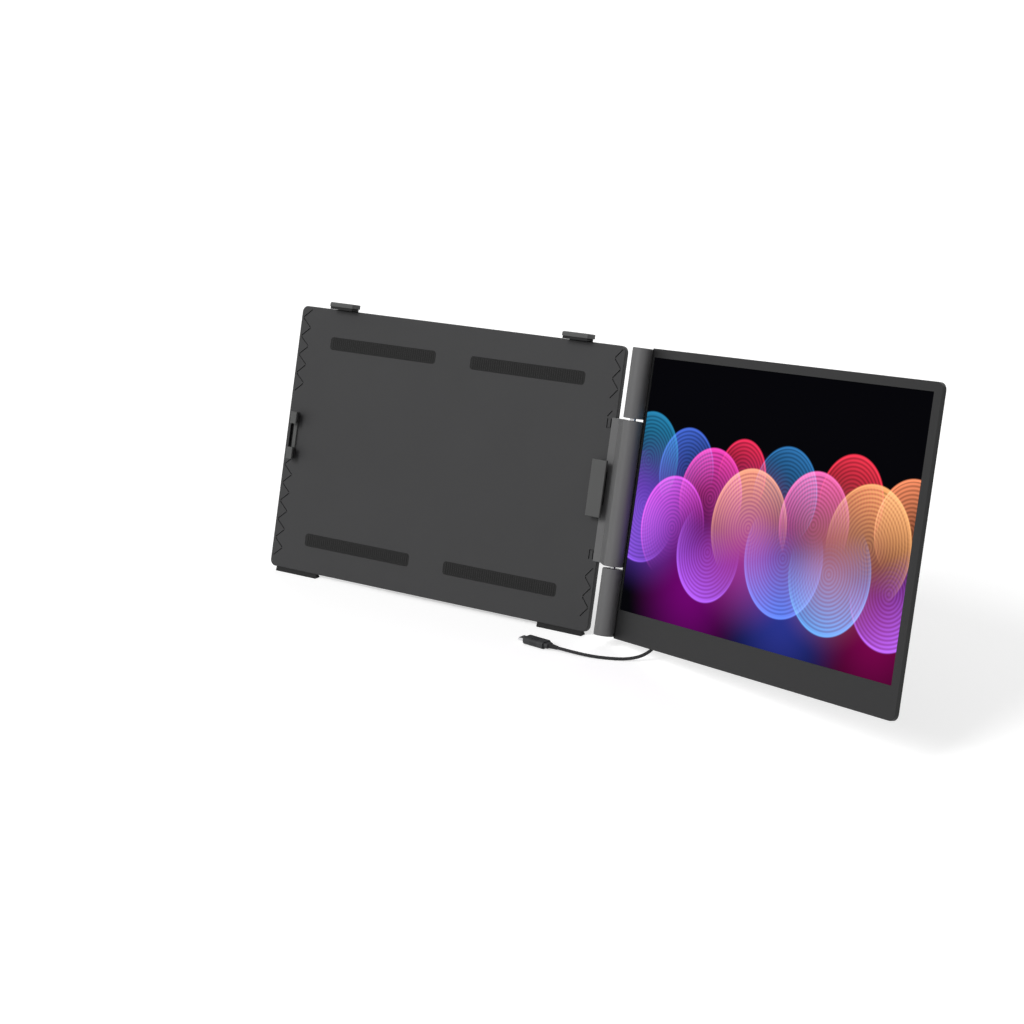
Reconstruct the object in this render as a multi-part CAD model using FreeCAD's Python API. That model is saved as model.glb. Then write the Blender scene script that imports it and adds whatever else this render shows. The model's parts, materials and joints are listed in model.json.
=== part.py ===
import FreeCAD, Part
import math
import os

# Laptop screen extender: a carrier frame that clips behind a laptop's lid, and a second display
# that swings on it about an upright hinge. Millimetres.
#
# Frame pieces are drawn in the panel frame: x to the right, y backwards and z up along the lid,
# with the origin at the lid's lower left corner. Screen pieces are drawn about the hinge axis and
# then swung. Everything is then leaned back and moved to stand on the desk.

# Pose shown
LEAN = 16.27
SWING = 21.0
STAND_LENGTH = 212.0

# Display and its casing, about the hinge axis
DISPLAY_W = 344.7
DISPLAY_H = 215.4
DISPLAY_X = 9.6
DISPLAY_Z = 16.2
BEZEL_RIGHT = 8.4
BEZEL_TOP = 7.4
BEZEL_CHIN = 25.4
SCREEN_X0 = 6.25
SCREEN_X1 = DISPLAY_X + DISPLAY_W + BEZEL_RIGHT
SCREEN_Z0 = DISPLAY_Z - BEZEL_CHIN
SCREEN_Z1 = DISPLAY_Z + DISPLAY_H + BEZEL_TOP
SCREEN_Y0 = 6.0
SCREEN_Y1 = 10.2
BEZEL_T = 0.8
PANEL_T = 2.0
PANEL_LIP = 1.4
BACKLIGHT_T = 0.5
SCREEN_CORNER = 6.0
HINGE_LIP_X = 1.6

# Electronics bay on the back of the screen
BAY_X0 = 26.0
BAY_X1 = 308.0
BAY_Z0 = 49.5
BAY_Z1 = 150.0
BAY_Y1 = 17.0
BAY_WALL = 1.5
SPINE_X1 = 34.0
SPINE_Y1 = 13.2
PORT_Y = 13.7
PORT_X = (60.0, 84.0, 110.0)
BUTTON_Z = 120.0
ROCKER_Z = 98.0
BUTTON_Y = 13.6

# Hinge
HINGE_X = 379.8
HINGE_Y = -7.0
KNUCKLE_R = 8.65
TROUGH_GAP = 0.6
CENTRE_KNUCKLE = (51.5, 176.0)
UPPER_KNUCKLE = (178.0, 238.0)
LOWER_KNUCKLE = (-8.0, 49.5)
SHAFT_R = 2.5
BUSH_R = 5.0
RUNNING_GAP = 0.05
ARM_X0 = 349.9
ARM_FRONT_X = 357.0
ARM_REAR_X = 361.0

# Carrier frame
FRAME_X0 = -16.0
FRAME_X1 = 354.0
FRAME_Z0 = -10.5
FRAME_Z1 = 238.0
FRAME_Y0 = 6.0
SPLIT_Y = 9.5
RIM_Y = 11.5
BACK_Y = 18.5
FRAME_CORNER = 6.0
FRAME_WALL = 1.6
LID_W = 341.0

# Rear bulge of the frame
BULGE_INSET = 8.0
BULGE_TAPER = 6.0

# Kickstand plate in its recess
STAND_X0 = 70.0
STAND_X1 = 280.0
STAND_Y0 = 15.6
STAND_T = 2.2
STAND_AXIS_Y = 16.2
STAND_AXIS_Z = 205.0
STAND_BARREL_R = 2.2
STAND_PIN_R = 1.0
RECESS_Y = 15.3
RECESS_FLOOR_Y = 12.3
RECESS_GAP = 0.8

# Lid clips
CLIP_W = 28.0
CLIP_X = (38.0, 305.0)
STEM_HALF = 12.0
SLIDER_Y0 = 7.9
SLIDER_Y1 = 9.2
SLIDER_GAP = 0.15
TOP_SEAT_Z = 239.0
CLIP_HEAD_Z = (240.4, 244.4)
CLIP_FRONT_Y = -2.4
CLIP_BACK_Y = 9.4
TAB_Z = (89.5, 139.0)
TAB_FRONT_Y = -2.4
TAB_OVERLAP = 2.5
TAB_OUTER = 355.8
TAB_FLANGE_T = 2.0
FINGER_Z = (93.0, 137.5)
FINGER_WINDOW = (104.0, 126.5)
SIDE_STEM = (343.9, 347.6)
SIDE_SLIDER_X0 = 316.0
SIDE_SLIDER_Z = (100.0, 129.0)
SIDE_SPRING_X = 283.0
SIDE_POST_X = (278.5, 282.4)
TOP_STEM_Z0 = 178.0
SPRING_Y = 10.4
SPRING_COIL_R = 1.7
SPRING_WIRE_R = 0.28
SIDE_TRAVEL = 5.0
TOP_TRAVEL = 20.0

# Feet and desk
DESK_Z = -16.0

# Rail grooves
GROOVE_PITCH = 17.5
GROOVE_RISE = 7.0
GROOVE_DEEP = 1.0
GROOVE_W = 1.1


def groove_run(top, count):
    """Heights of a run of grooves, from its top one down."""
    return [top - GROOVE_PITCH * step for step in range(count)]


RIGHT_GROOVES = (groove_run(227.6, 3), groove_run(37.9, 3))
LEFT_GROOVES = (groove_run(227.6, 5), groove_run(87.6, 6))

# Link lead
CORD_R = 1.4
PLUG_W = 11.6
PLUG_T = 6.2
PLUG_L = 27.0
PLUG_SHELL = (8.3, 2.5, 6.5)
RELIEF_L = 8.5
FREE_PLUG_NOSE = (311.2, -34.0)
FREE_PLUG_TAIL = (353.6, -39.1)
PLUG_LIFT = 0.2

X_AXIS = FreeCAD.Vector(1, 0, 0)
Y_AXIS = FreeCAD.Vector(0, 1, 0)
Z_AXIS = FreeCAD.Vector(0, 0, 1)


def vec(x, y, z):
    return FreeCAD.Vector(x, y, z)


# Basic solids

def box(x0, x1, y0, y1, z0, z1):
    return Part.makeBox(x1 - x0, y1 - y0, z1 - z0, vec(x0, y0, z0))


def rod(radius, start, direction, length):
    return Part.makeCylinder(radius, length, start, direction)


def rounded_wire(x0, x1, z0, z1, y, corner):
    """Rounded rectangle in the panel's plane at depth y."""
    edges = []
    corners = ((x1 - corner, z1 - corner, 0), (x0 + corner, z1 - corner, 90),
               (x0 + corner, z0 + corner, 180), (x1 - corner, z0 + corner, 270))
    ends = []
    for cx, cz, start in corners:
        points = []
        for turn in (0, 45, 90):
            angle = math.radians(start + turn)
            points.append(vec(cx + corner * math.cos(angle), y, cz + corner * math.sin(angle)))
        edges.append(Part.Arc(*points).toShape())
        ends.append((points[0], points[2]))
    for index in range(4):
        edges.append(Part.LineSegment(ends[index][1], ends[(index + 1) % 4][0]).toShape())
    return Part.Wire(Part.__sortEdges__(edges))


def rounded_plate(x0, x1, y0, y1, z0, z1, corner):
    """Flat plate with rounded corners, its thickness along y."""
    face = Part.Face(rounded_wire(x0, x1, z0, z1, y0, corner))
    return face.extrude(vec(0, y1 - y0, 0))


def tapered_block(x0, x1, y0, y1, z0, z1, corner, taper):
    """Block that narrows towards the back; taper is (left, right, bottom, top)."""
    near = rounded_wire(x0, x1, z0, z1, y0, corner)
    far = rounded_wire(x0 + taper[0], x1 - taper[1], z0 + taper[2], z1 - taper[3], y1, corner)
    return Part.makeLoft([near, far], True, True)


def prism(points, z0, z1):
    """Extrusion along z of a polygon given in x and y."""
    ring = [vec(x, y, z0) for x, y in points]
    return Part.Face(Part.makePolygon(ring + ring[:1])).extrude(vec(0, 0, z1 - z0))


def fuse(shapes):
    body = shapes[0]
    for shape in shapes[1:]:
        body = body.fuse(shape)
    return body.removeSplitter()


def cut(body, tools):
    for tool in tools:
        body = body.cut(tool)
    return body


def round_edges(body, radius, keep):
    """Round the edges whose middle point passes the test keep."""
    chosen = []
    for edge in body.Edges:
        middle = edge.valueAt((edge.FirstParameter + edge.LastParameter) / 2)
        if keep(middle, edge):
            chosen.append(edge)
    return body.makeFillet(radius, chosen)


def bevel_edges(body, size, keep):
    """Bevel the edges whose middle point passes the test keep."""
    chosen = []
    for edge in body.Edges:
        middle = edge.valueAt((edge.FirstParameter + edge.LastParameter) / 2)
        if keep(middle, edge):
            chosen.append(edge)
    return body.makeChamfer(size, chosen)


# Placing

def swing(shape):
    """From screen coordinates, about the hinge axis, into the panel frame."""
    moved = shape.copy()
    moved.rotate(vec(0, 0, 0), Z_AXIS, -SWING)
    moved.translate(vec(HINGE_X, HINGE_Y, 0))
    return moved


def lean(shape):
    moved = shape.copy()
    moved.rotate(vec(0, 0, 0), X_AXIS, -LEAN)
    return moved


def stand_angle():
    """Angle between the open kickstand and the frame's back, in degrees."""
    tilt = math.radians(LEAN)
    height = STAND_AXIS_Z * math.cos(tilt) - STAND_AXIS_Y * math.sin(tilt) - DESK_Z
    return LEAN + math.degrees(math.acos(height / STAND_LENGTH))


def open_stand(shape):
    moved = shape.copy()
    moved.rotate(vec(0, STAND_AXIS_Y, STAND_AXIS_Z), X_AXIS, stand_angle())
    return moved


# Carrier frame

def groove(x_from, z_from, x_to, z_to):
    """Straight groove in the frame's front face between two points."""
    run = math.hypot(x_to - x_from, z_to - z_from)
    bar = rounded_plate(-GROOVE_W / 2, run + GROOVE_W / 2, 0, 2 * GROOVE_DEEP,
                        -GROOVE_W / 2, GROOVE_W / 2, GROOVE_W * 0.45)
    bar.rotate(vec(0, 0, 0), Y_AXIS, -math.degrees(math.atan2(z_to - z_from, x_to - x_from)))
    bar.translate(vec(x_from, FRAME_Y0 - GROOVE_DEEP, z_from))
    return bar


def rail_grooves():
    """Zigzag grooves of both side rails: rising strokes, each joined to the one above it."""
    grooves = [groove(344.9, 177.0, 348.6, 181.2)]
    for runs, x_in, x_out in ((RIGHT_GROOVES, 344.8, 351.2), (LEFT_GROOVES, -12.6, -3.8)):
        for run in runs:
            for z in run:
                grooves.append(groove(x_in, z, x_out, z + GROOVE_RISE))
            for z in run[1:]:
                grooves.append(groove(x_out, z + GROOVE_RISE + 1.6, x_in, z + GROOVE_PITCH - 1.6))
    return grooves


def latch_grooves():
    """U-shaped outlines of the two latch tongues on the right rail, at the arm's ends."""
    grooves = []
    for seam, open_end in ((167.0, 174.4), (60.5, 53.1)):
        grooves.append(groove(345.4, seam, 345.4, open_end))
        grooves.append(groove(349.2, seam, 349.2, open_end))
        grooves.append(groove(345.4, seam, 349.2, seam))
    return grooves


def clip_slots():
    """Slots in the front half where the four lid clips run."""
    slots = []
    for x in CLIP_X:
        slots.append(box(x - STEM_HALF - 0.3, x + STEM_HALF + 0.3, SLIDER_Y0 - 0.2, SPLIT_Y, FRAME_Z1 - 3,
                         FRAME_Z1 + 1))
    slots.append(right_stem_slot())
    slots.append(box(-7.3 - SIDE_TRAVEL, -2.7, FRAME_Y0 - 1, SLIDER_Y0, 99.7, 129.3))
    return slots


PAD_ZONES = ((24.0, 150.0, 200.0, 212.0), (190.0, 316.0, 200.0, 212.0),
             (24.0, 150.0, 14.0, 26.0), (190.0, 316.0, 14.0, 26.0))
SCREW_SPOTS = ((6.0, 20.0), (6.0, 206.0), (334.0, 20.0), (334.0, 206.0), (170.0, 222.0))


def right_stem_slot():
    """Room for the right side clip's stem over its travel, through the rail and the arm's root."""
    low, high = SIDE_SLIDER_Z
    return box(SIDE_STEM[0] - 0.2, SIDE_STEM[1] + SIDE_TRAVEL + 0.2, FRAME_Y0 - 1, SLIDER_Y1 + 0.15,
               low - 0.3, high + 0.3)


def arm_notch():
    """Room in the frame's right edge for the hinge arm."""
    low, high = CENTRE_KNUCKLE
    return box(ARM_X0, FRAME_X1 + 1, FRAME_Y0 - 1, RIM_Y + 1, low - 0.1, high + 0.1)


def frame_tray():
    """Front half: the face that the lid lies on, with the grooved side rails."""
    outer = rounded_plate(FRAME_X0, FRAME_X1, FRAME_Y0, SPLIT_Y, FRAME_Z0, FRAME_Z1, FRAME_CORNER)
    outer = round_edges(outer, 0.9, lambda p, e: abs(p.y - FRAME_Y0) < 0.01)
    cavity = rounded_plate(FRAME_X0 + FRAME_WALL, FRAME_X1 - FRAME_WALL, FRAME_Y0 + FRAME_WALL,
                           SPLIT_Y + 1, FRAME_Z0 + FRAME_WALL, FRAME_Z1 - FRAME_WALL,
                           FRAME_CORNER - FRAME_WALL)
    tray = outer.cut(cavity)
    bosses = [rod(3.2, vec(x, FRAME_Y0 + 1, z), Y_AXIS, SPLIT_Y - FRAME_Y0 - 1) for x, z in SCREW_SPOTS]
    tray = fuse([tray] + bosses)
    pads = [rounded_plate(x0, x1, FRAME_Y0 - 1, FRAME_Y0 + 0.6, z0, z1, 3.0)
            for x0, x1, z0, z1 in PAD_ZONES]
    holes = [rod(1.0, vec(x, FRAME_Y0 + 1.2, z), Y_AXIS, 6) for x, z in SCREW_SPOTS]
    return cut(tray, [arm_notch()] + pads + holes + clip_slots() + rail_grooves() + latch_grooves())


def bulge(y1, grow):
    """Rear bulge, grown or shrunk all round."""
    inset = BULGE_INSET - grow
    sides = BULGE_TAPER
    return tapered_block(FRAME_X0 + inset, FRAME_X1 - inset, RIM_Y - 0.1, y1, FRAME_Z0 + inset - 2,
                         FRAME_Z1 - inset, 8.0, (sides, sides, sides, sides))


def frame_rear_cover():
    """Rear half: a thin rim, the bulge behind it and the kickstand's recess."""
    rim = rounded_plate(FRAME_X0, FRAME_X1, SPLIT_Y, RIM_Y, FRAME_Z0, FRAME_Z1, FRAME_CORNER)
    rim = round_edges(rim, 1.2, lambda p, e: abs(p.y - RIM_Y) < 0.01)
    shell = fuse([rim, bulge(BACK_Y, 0.0)])
    hollow = bulge(BACK_Y - FRAME_WALL, -FRAME_WALL)
    mouth = rounded_plate(FRAME_X0 + 14, FRAME_X1 - 14, SPLIT_Y - 1, RIM_Y + 1, FRAME_Z0 + 12,
                          FRAME_Z1 - 14, 6.0)
    shell = cut(shell, [hollow, mouth])
    x0 = STAND_X0 - RECESS_GAP
    x1 = STAND_X1 + RECESS_GAP
    top = STAND_AXIS_Z + 5.0
    pan = box(x0 - FRAME_WALL, x1 + FRAME_WALL, RECESS_FLOOR_Y, BACK_Y - 0.5, FRAME_Z0 + 9, top + FRAME_WALL)
    pan = pan.common(bulge(BACK_Y, 0.0))
    bosses = []
    for x, z in SCREW_SPOTS:
        bosses.append(rod(3.2, vec(x, SPLIT_Y, z), Y_AXIS, BACK_Y - SPLIT_Y - 1.0))
    for x in (x0 - FRAME_WALL - 2.4, x1 + FRAME_WALL):
        bosses.append(box(x, x + 2.4, 13.0, BACK_Y - 1.0, STAND_AXIS_Z - 3.5, STAND_AXIS_Z + 3.5))
    shell = fuse([shell, pan] + bosses)
    recess = box(x0, x1, RECESS_Y, BACK_Y + 2, FRAME_Z0 - 1, top)
    trough = rod(STAND_BARREL_R + 0.4, vec(x0, STAND_AXIS_Y, STAND_AXIS_Z), X_AXIS, x1 - x0)
    pin_hole = rod(STAND_PIN_R, vec(x0 - 5, STAND_AXIS_Y, STAND_AXIS_Z), X_AXIS, x1 - x0 + 10)
    tools = [recess, trough, pin_hole, arm_notch()]
    for x, z in SCREW_SPOTS:
        tools.append(rod(1.1, vec(x, SPLIT_Y - 1, z), Y_AXIS, 12))
        tools.append(rod(2.4, vec(x, BACK_Y - 1.4, z), Y_AXIS, 3))
    return cut(shell, tools)


def frame_screws():
    screws = []
    for x, z in SCREW_SPOTS:
        head = rod(2.2, vec(x, BACK_Y - 1.4, z), Y_AXIS, 1.2)
        shank = rod(0.95, vec(x, FRAME_Y0 + 1.6, z), Y_AXIS, BACK_Y - 1.4 - FRAME_Y0 - 1.6)
        drive = box(x - 1.4, x + 1.4, BACK_Y - 0.8, BACK_Y, z - 0.3, z + 0.3)
        cross = box(x - 0.3, x + 0.3, BACK_Y - 0.8, BACK_Y, z - 1.4, z + 1.4)
        screws.append(cut(fuse([head, shank]), [drive, cross]))
    return Part.makeCompound(screws)


def stiffener_plate():
    """Steel sheet behind the front half; it stiffens the frame and weighs it down."""
    plate = rounded_plate(66, 272, FRAME_Y0 + FRAME_WALL, FRAME_Y0 + FRAME_WALL + 1.6, -2, 216, 4.0)
    windows = [rounded_plate(x, x + 44, FRAME_Y0, SPLIT_Y, 96, 130, 5.0) for x in (86, 147, 208)]
    return cut(plate, windows)


def lid_grip_pads():
    pads = []
    for x0, x1, z0, z1 in PAD_ZONES:
        pads.append(rounded_plate(x0 + 0.1, x1 - 0.1, FRAME_Y0 - 0.25, FRAME_Y0 + 0.6, z0 + 0.1,
                                  z1 - 0.1, 2.9))
    return Part.makeCompound(pads)


def frame_foot(x0, x1):
    """Rubber wedge under the frame's lower edge, flat on the desk; drawn already leaned."""
    tilt = math.radians(LEAN)

    def under_edge(y):
        return (y * math.cos(tilt) + FRAME_Z0 * math.sin(tilt),
                FRAME_Z0 * math.cos(tilt) - y * math.sin(tilt))

    front = under_edge(FRAME_Y0 + 0.9)
    back = under_edge(RIM_Y - 1.2)
    ring = [vec(x0, *point) for point in (front, (front[0] - 1.5, DESK_Z), (back[0] + 1.5, DESK_Z), back)]
    foot = Part.Face(Part.makePolygon(ring + ring[:1])).extrude(vec(x1 - x0, 0, 0))
    return foot


def frame_feet():
    return Part.makeCompound([frame_foot(-8, 42), frame_foot(300, 348)])


# Hinge

def arm_profile():
    """Section of the arm from the frame's edge to the centre knuckle."""
    return [(ARM_X0, FRAME_Y0), (ARM_FRONT_X, FRAME_Y0), (HINGE_X - 7.25, HINGE_Y - 4.7),
            (HINGE_X, HINGE_Y), (HINGE_X - 7.5, HINGE_Y + 4.3), (ARM_REAR_X, RIM_Y), (ARM_X0, RIM_Y)]


def hinge_arm():
    """Arm fixed between the frame's halves, with the centre knuckle on its end."""
    low, high = CENTRE_KNUCKLE
    web = prism(arm_profile(), low, high)
    knuckle = rod(KNUCKLE_R, vec(HINGE_X, HINGE_Y, low), Z_AXIS, high - low)
    knuckle = bevel_edges(knuckle, 0.5, lambda p, e: e.isClosed())
    flanges = [box(322.0, ARM_X0 + 0.5, SPLIT_Y - 1.4, SPLIT_Y, z, z + 26) for z in (low + 4, high - 30)]
    arm = fuse([web, knuckle] + flanges)
    bore = rod(SHAFT_R, vec(HINGE_X, HINGE_Y, low - 1), Z_AXIS, high - low + 2)
    return cut(arm, [bore, right_stem_slot()])


def hinge_shafts():
    """Steel shafts held in the centre knuckle, one for each end knuckle."""
    upper = rod(SHAFT_R, vec(HINGE_X, HINGE_Y, 130), Z_AXIS, 222 - 130)
    lower = rod(SHAFT_R, vec(HINGE_X, HINGE_Y, 8), Z_AXIS, 98 - 8)
    return Part.makeCompound([upper, lower])


def knuckle_section(z0, z1):
    """End knuckle in screen coordinates: round in front, squared into the casing behind."""
    barrel = rod(KNUCKLE_R, vec(0, 0, z0), Z_AXIS, z1 - z0)
    barrel = bevel_edges(barrel, 0.5, lambda p, e: e.isClosed())
    web = prism([(-KNUCKLE_R, 0), (SCREEN_X0, 0), (SCREEN_X0, SCREEN_Y1), (-5.4, SCREEN_Y1),
                 (-KNUCKLE_R, 7.0)], z0, z1)
    keep = box(-20, SCREEN_X0, -20, 20, z0 - 1, z1 + 1)
    ahead = box(-20, 20, -20, SCREEN_Y0, z0 - 1, z1 + 1)
    return fuse([barrel.common(ahead), barrel.common(keep), web])


def hinge_cover(z0, z1):
    body = knuckle_section(z0, z1)
    return body.cut(rod(BUSH_R, vec(0, 0, z0 - 1), Z_AXIS, z1 - z0 + 2))


def friction_bush(z0, z1):
    """Brass sleeve that grips the shaft and gives the hinge its drag."""
    sleeve = rod(BUSH_R, vec(0, 0, z0), Z_AXIS, z1 - z0)
    return sleeve.cut(rod(SHAFT_R + RUNNING_GAP, vec(0, 0, z0 - 1), Z_AXIS, z1 - z0 + 2))


def friction_bushes():
    return Part.makeCompound([friction_bush(181, 221), friction_bush(9, 46.5)])


def hinge_end_caps():
    """Plugs that close the outer ends of the two end knuckles."""
    caps = []
    for z, way in ((UPPER_KNUCKLE[1], -1), (LOWER_KNUCKLE[0], 1)):
        caps.append(rod(BUSH_R, vec(0, 0, z), vec(0, 0, way), 5.0))
    return Part.makeCompound(caps)


def hinge_brackets():
    """Steel leaves that carry the screen on the two end knuckles, under the spine."""
    leaves = []
    for z0, z1 in ((12.0, 42.0), (186.0, 216.0)):
        leaves.append(rounded_plate(11.2, 27.8, SCREEN_Y1 + 0.1, SCREEN_Y1 + 1.7, z0, z1, 3.0))
    return Part.makeCompound(leaves)


# Screen

def screen_outline(y0, y1, shrink):
    plate = rounded_plate(SCREEN_X0 - 12, SCREEN_X1 - shrink, y0, y1, SCREEN_Z0 + shrink,
                          SCREEN_Z1 - shrink, SCREEN_CORNER - shrink)
    return plate.cut(box(-20, SCREEN_X0 + shrink, y0 - 1, y1 + 1, SCREEN_Z0 - 1, SCREEN_Z1 + 1))


def trough():
    """Room for the centre knuckle and its arm beside the screen's left edge."""
    low = CENTRE_KNUCKLE[0] - 1.7
    high = CENTRE_KNUCKLE[1] + 1.7
    return rod(KNUCKLE_R + TROUGH_GAP, vec(0, 0, low), Z_AXIS, high - low)


def screen_bezel():
    plate = screen_outline(SCREEN_Y0, SCREEN_Y0 + BEZEL_T, 0.0)
    plate = bevel_edges(plate, 0.35, lambda p, e: abs(p.y - SCREEN_Y0) < 0.01)
    window = box(DISPLAY_X, DISPLAY_X + DISPLAY_W, SCREEN_Y0 - 1, SCREEN_Y0 + 2, DISPLAY_Z,
                 DISPLAY_Z + DISPLAY_H)
    return cut(plate, [window, trough()])


def panel_block(y0, y1, inset):
    return box(DISPLAY_X - PANEL_LIP + inset, DISPLAY_X + DISPLAY_W + PANEL_LIP - inset, y0, y1,
               DISPLAY_Z - PANEL_LIP + inset, DISPLAY_Z + DISPLAY_H + PANEL_LIP - inset)


def display_panel():
    y0 = SCREEN_Y0 + BEZEL_T
    return panel_block(y0, y0 + PANEL_T, 0.0)


def backlight_plate():
    y0 = SCREEN_Y0 + BEZEL_T + PANEL_T
    return panel_block(y0, y0 + BACKLIGHT_T, 1.0)


def spine(y1, shrink):
    """Raised strip of the casing along the hinge side."""
    return tapered_block(SCREEN_X0 + 1.6 + shrink, SPINE_X1 - shrink, SCREEN_Y1 - 1, y1,
                         SCREEN_Z0 + 4 + shrink, SCREEN_Z1 - 4 - shrink, 2.5, (2.0, 4.0, 4.0, 4.0))


def screen_rear_shell():
    """Rear casing of the screen, with its side walls and the spine over the hinge leaves."""
    shell = screen_outline(SCREEN_Y0 + BEZEL_T, SCREEN_Y1, 0.0)
    shell = round_edges(shell, 0.6, lambda p, e: abs(p.y - SCREEN_Y1) < 0.01 and p.x > 30)
    shell = fuse([shell, spine(SPINE_Y1, 0.0)])
    inside = panel_block(SCREEN_Y0, SCREEN_Y1 - 0.9, -0.1)
    spine_hollow = spine(SPINE_Y1 - 1.0, 1.0).common(box(-9, 99, SCREEN_Y1 - 0.05, 40, -99, 399))
    wire_slot = rounded_plate(BAY_X0 + 40, BAY_X0 + 90, SCREEN_Y0, SCREEN_Y1 + 1, 60, 72, 4.0)
    lip = box(HINGE_LIP_X, SCREEN_X0 + 0.2, SCREEN_Y1 - 1.0, SCREEN_Y1, LOWER_KNUCKLE[1] + 0.1,
              UPPER_KNUCKLE[0] - 0.1)
    return cut(fuse([shell, lip]), [inside, spine_hollow, wire_slot, trough()])


def bay_spots():
    """Screw places of the electronics cover, in x and z."""
    return ((BAY_X0 + 16, BAY_Z0 + 8), (BAY_X0 + 16, BAY_Z1 - 12), (BAY_X1 - 12, BAY_Z0 + 8),
            (BAY_X1 - 12, BAY_Z1 - 12))


def electronics_cover():
    """Cover of the electronics bay, with ports below, keys at its right and two grilles."""
    outer = tapered_block(BAY_X0 + 9, BAY_X1, SCREEN_Y1, BAY_Y1, BAY_Z0, BAY_Z1, 5.0, (5.0, 0.0, 0.0, 5.0))
    hollow = tapered_block(BAY_X0 + 9 + BAY_WALL, BAY_X1 - BAY_WALL, SCREEN_Y1, BAY_Y1 - BAY_WALL,
                           BAY_Z0 + BAY_WALL, BAY_Z1 - BAY_WALL, 3.5, (5.0, 0.0, 0.0, 5.0))
    cover = outer.cut(hollow)
    bosses = [rod(3.0, vec(x, SCREEN_Y1, z), Y_AXIS, BAY_Y1 - SCREEN_Y1 - 1) for x, z in bay_spots()]
    cover = fuse([cover] + bosses)
    tools = []
    for x, z in bay_spots():
        tools.append(rod(1.1, vec(x, SCREEN_Y1 - 1, z), Y_AXIS, 9))
        tools.append(rod(2.3, vec(x, BAY_Y1 - 1.2, z), Y_AXIS, 3))
    for x in PORT_X[:2]:
        tools.append(port_hole(x, 4.7, 1.8))
    tools.append(port_hole(PORT_X[2], 5.8, 1.9))
    tools.append(key_hole(BUTTON_Z, 4.15))
    tools.append(key_hole(ROCKER_Z, 8.15))
    for x in (58.0, 250.0):
        for row in range(3):
            for column in range(6):
                left = x + 4.6 * column
                tools.append(rounded_plate(left, left + 3.4, BAY_Y1 - 3, BAY_Y1 + 1,
                                           112 + 4 * row, 113.4 + 4 * row, 0.65))
    return cut(cover, tools)


def port_hole(x, half_width, half_height):
    return box(x - half_width, x + half_width, PORT_Y - half_height, PORT_Y + half_height,
               BAY_Z0 - 1, BAY_Z0 + BAY_WALL + 0.5)


def key_hole(z, half_length):
    return box(BAY_X1 - BAY_WALL - 0.5, BAY_X1 + 1, BUTTON_Y - 1.75, BUTTON_Y + 1.75,
               z - half_length, z + half_length)


def screen_screws():
    screws = []
    for x, z in bay_spots():
        head = rod(2.1, vec(x, BAY_Y1 - 1.2, z), Y_AXIS, 1.0)
        shank = rod(0.95, vec(x, SCREEN_Y1 + 0.05, z), Y_AXIS, BAY_Y1 - 1.2 - SCREEN_Y1)
        drive = box(x - 1.3, x + 1.3, BAY_Y1 - 0.7, BAY_Y1, z - 0.3, z + 0.3)
        cross = box(x - 0.3, x + 0.3, BAY_Y1 - 0.7, BAY_Y1, z - 1.3, z + 1.3)
        screws.append(cut(fuse([head, shank]), [drive, cross]))
    return Part.makeCompound(screws)


def driver_board():
    """Circuit board that turns the video signal into the panel's own, with its main chips."""
    board = box(50, 292, SCREEN_Y1 + 0.2, SCREEN_Y1 + 1.4, BAY_Z0 + 3, BAY_Z0 + 50)
    chips = [box(x, x + w, SCREEN_Y1 + 1.4, SCREEN_Y1 + 2.6, z, z + h)
             for x, w, z, h in ((130, 16, 66, 16), (160, 9, 72, 9), (184, 12, 60, 6), (98, 7, 74, 7))]
    notches = [rod(3.2, vec(x, SCREEN_Y1 - 1, z), Y_AXIS, 4) for x, z in bay_spots()]
    return cut(fuse([board] + chips), notches)


def socket(x, half_width, half_height, depth):
    """Metal receptacle shell on the board, its mouth at the bay's lower wall."""
    front = BAY_Z0 + 0.4
    outer = box(x - half_width, x + half_width, PORT_Y - half_height, PORT_Y + half_height,
                front, front + depth)
    wall = 0.3
    mouth = box(x - half_width + wall, x + half_width - wall, PORT_Y - half_height + wall,
                PORT_Y + half_height - wall, front - 1, front + depth - 0.6)
    return outer.cut(mouth)


def usb_c_ports():
    return Part.makeCompound([socket(x, 4.6, 1.7, 7.6) for x in PORT_X[:2]])


def mini_hdmi_port():
    return socket(PORT_X[2], 5.7, 1.8, 7.6)


def port_tongues():
    """Contact tongues inside the free receptacles."""
    tongues = []
    for x, half in ((PORT_X[1], 3.2), (PORT_X[2], 4.2)):
        tongues.append(box(x - half, x + half, PORT_Y - 0.35, PORT_Y + 0.35, BAY_Z0 + 1.6, BAY_Z0 + 7.4))
    return Part.makeCompound(tongues)


def speakers():
    boxes = []
    for x in (56.0, 248.0):
        boxes.append(rounded_plate(x, x + 30, SCREEN_Y1 + 1.0, BAY_Y1 - BAY_WALL - 0.4, 106, 126, 3.0))
    return Part.makeCompound(boxes)


def power_button():
    cap = box(BAY_X1 - 1.2, BAY_X1 + 0.9, BUTTON_Y - 1.6, BUTTON_Y + 1.6, BUTTON_Z - 4.0, BUTTON_Z + 4.0)
    flange = box(BAY_X1 - 2.9, BAY_X1 - 2.1, BUTTON_Y - 1.8, BUTTON_Y + 1.8, BUTTON_Z - 4.8, BUTTON_Z + 4.8)
    neck = box(BAY_X1 - 2.2, BAY_X1 - 1.1, BUTTON_Y - 1.6, BUTTON_Y + 1.6, BUTTON_Z - 4.0, BUTTON_Z + 4.0)
    return fuse([cap, neck, flange])


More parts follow.
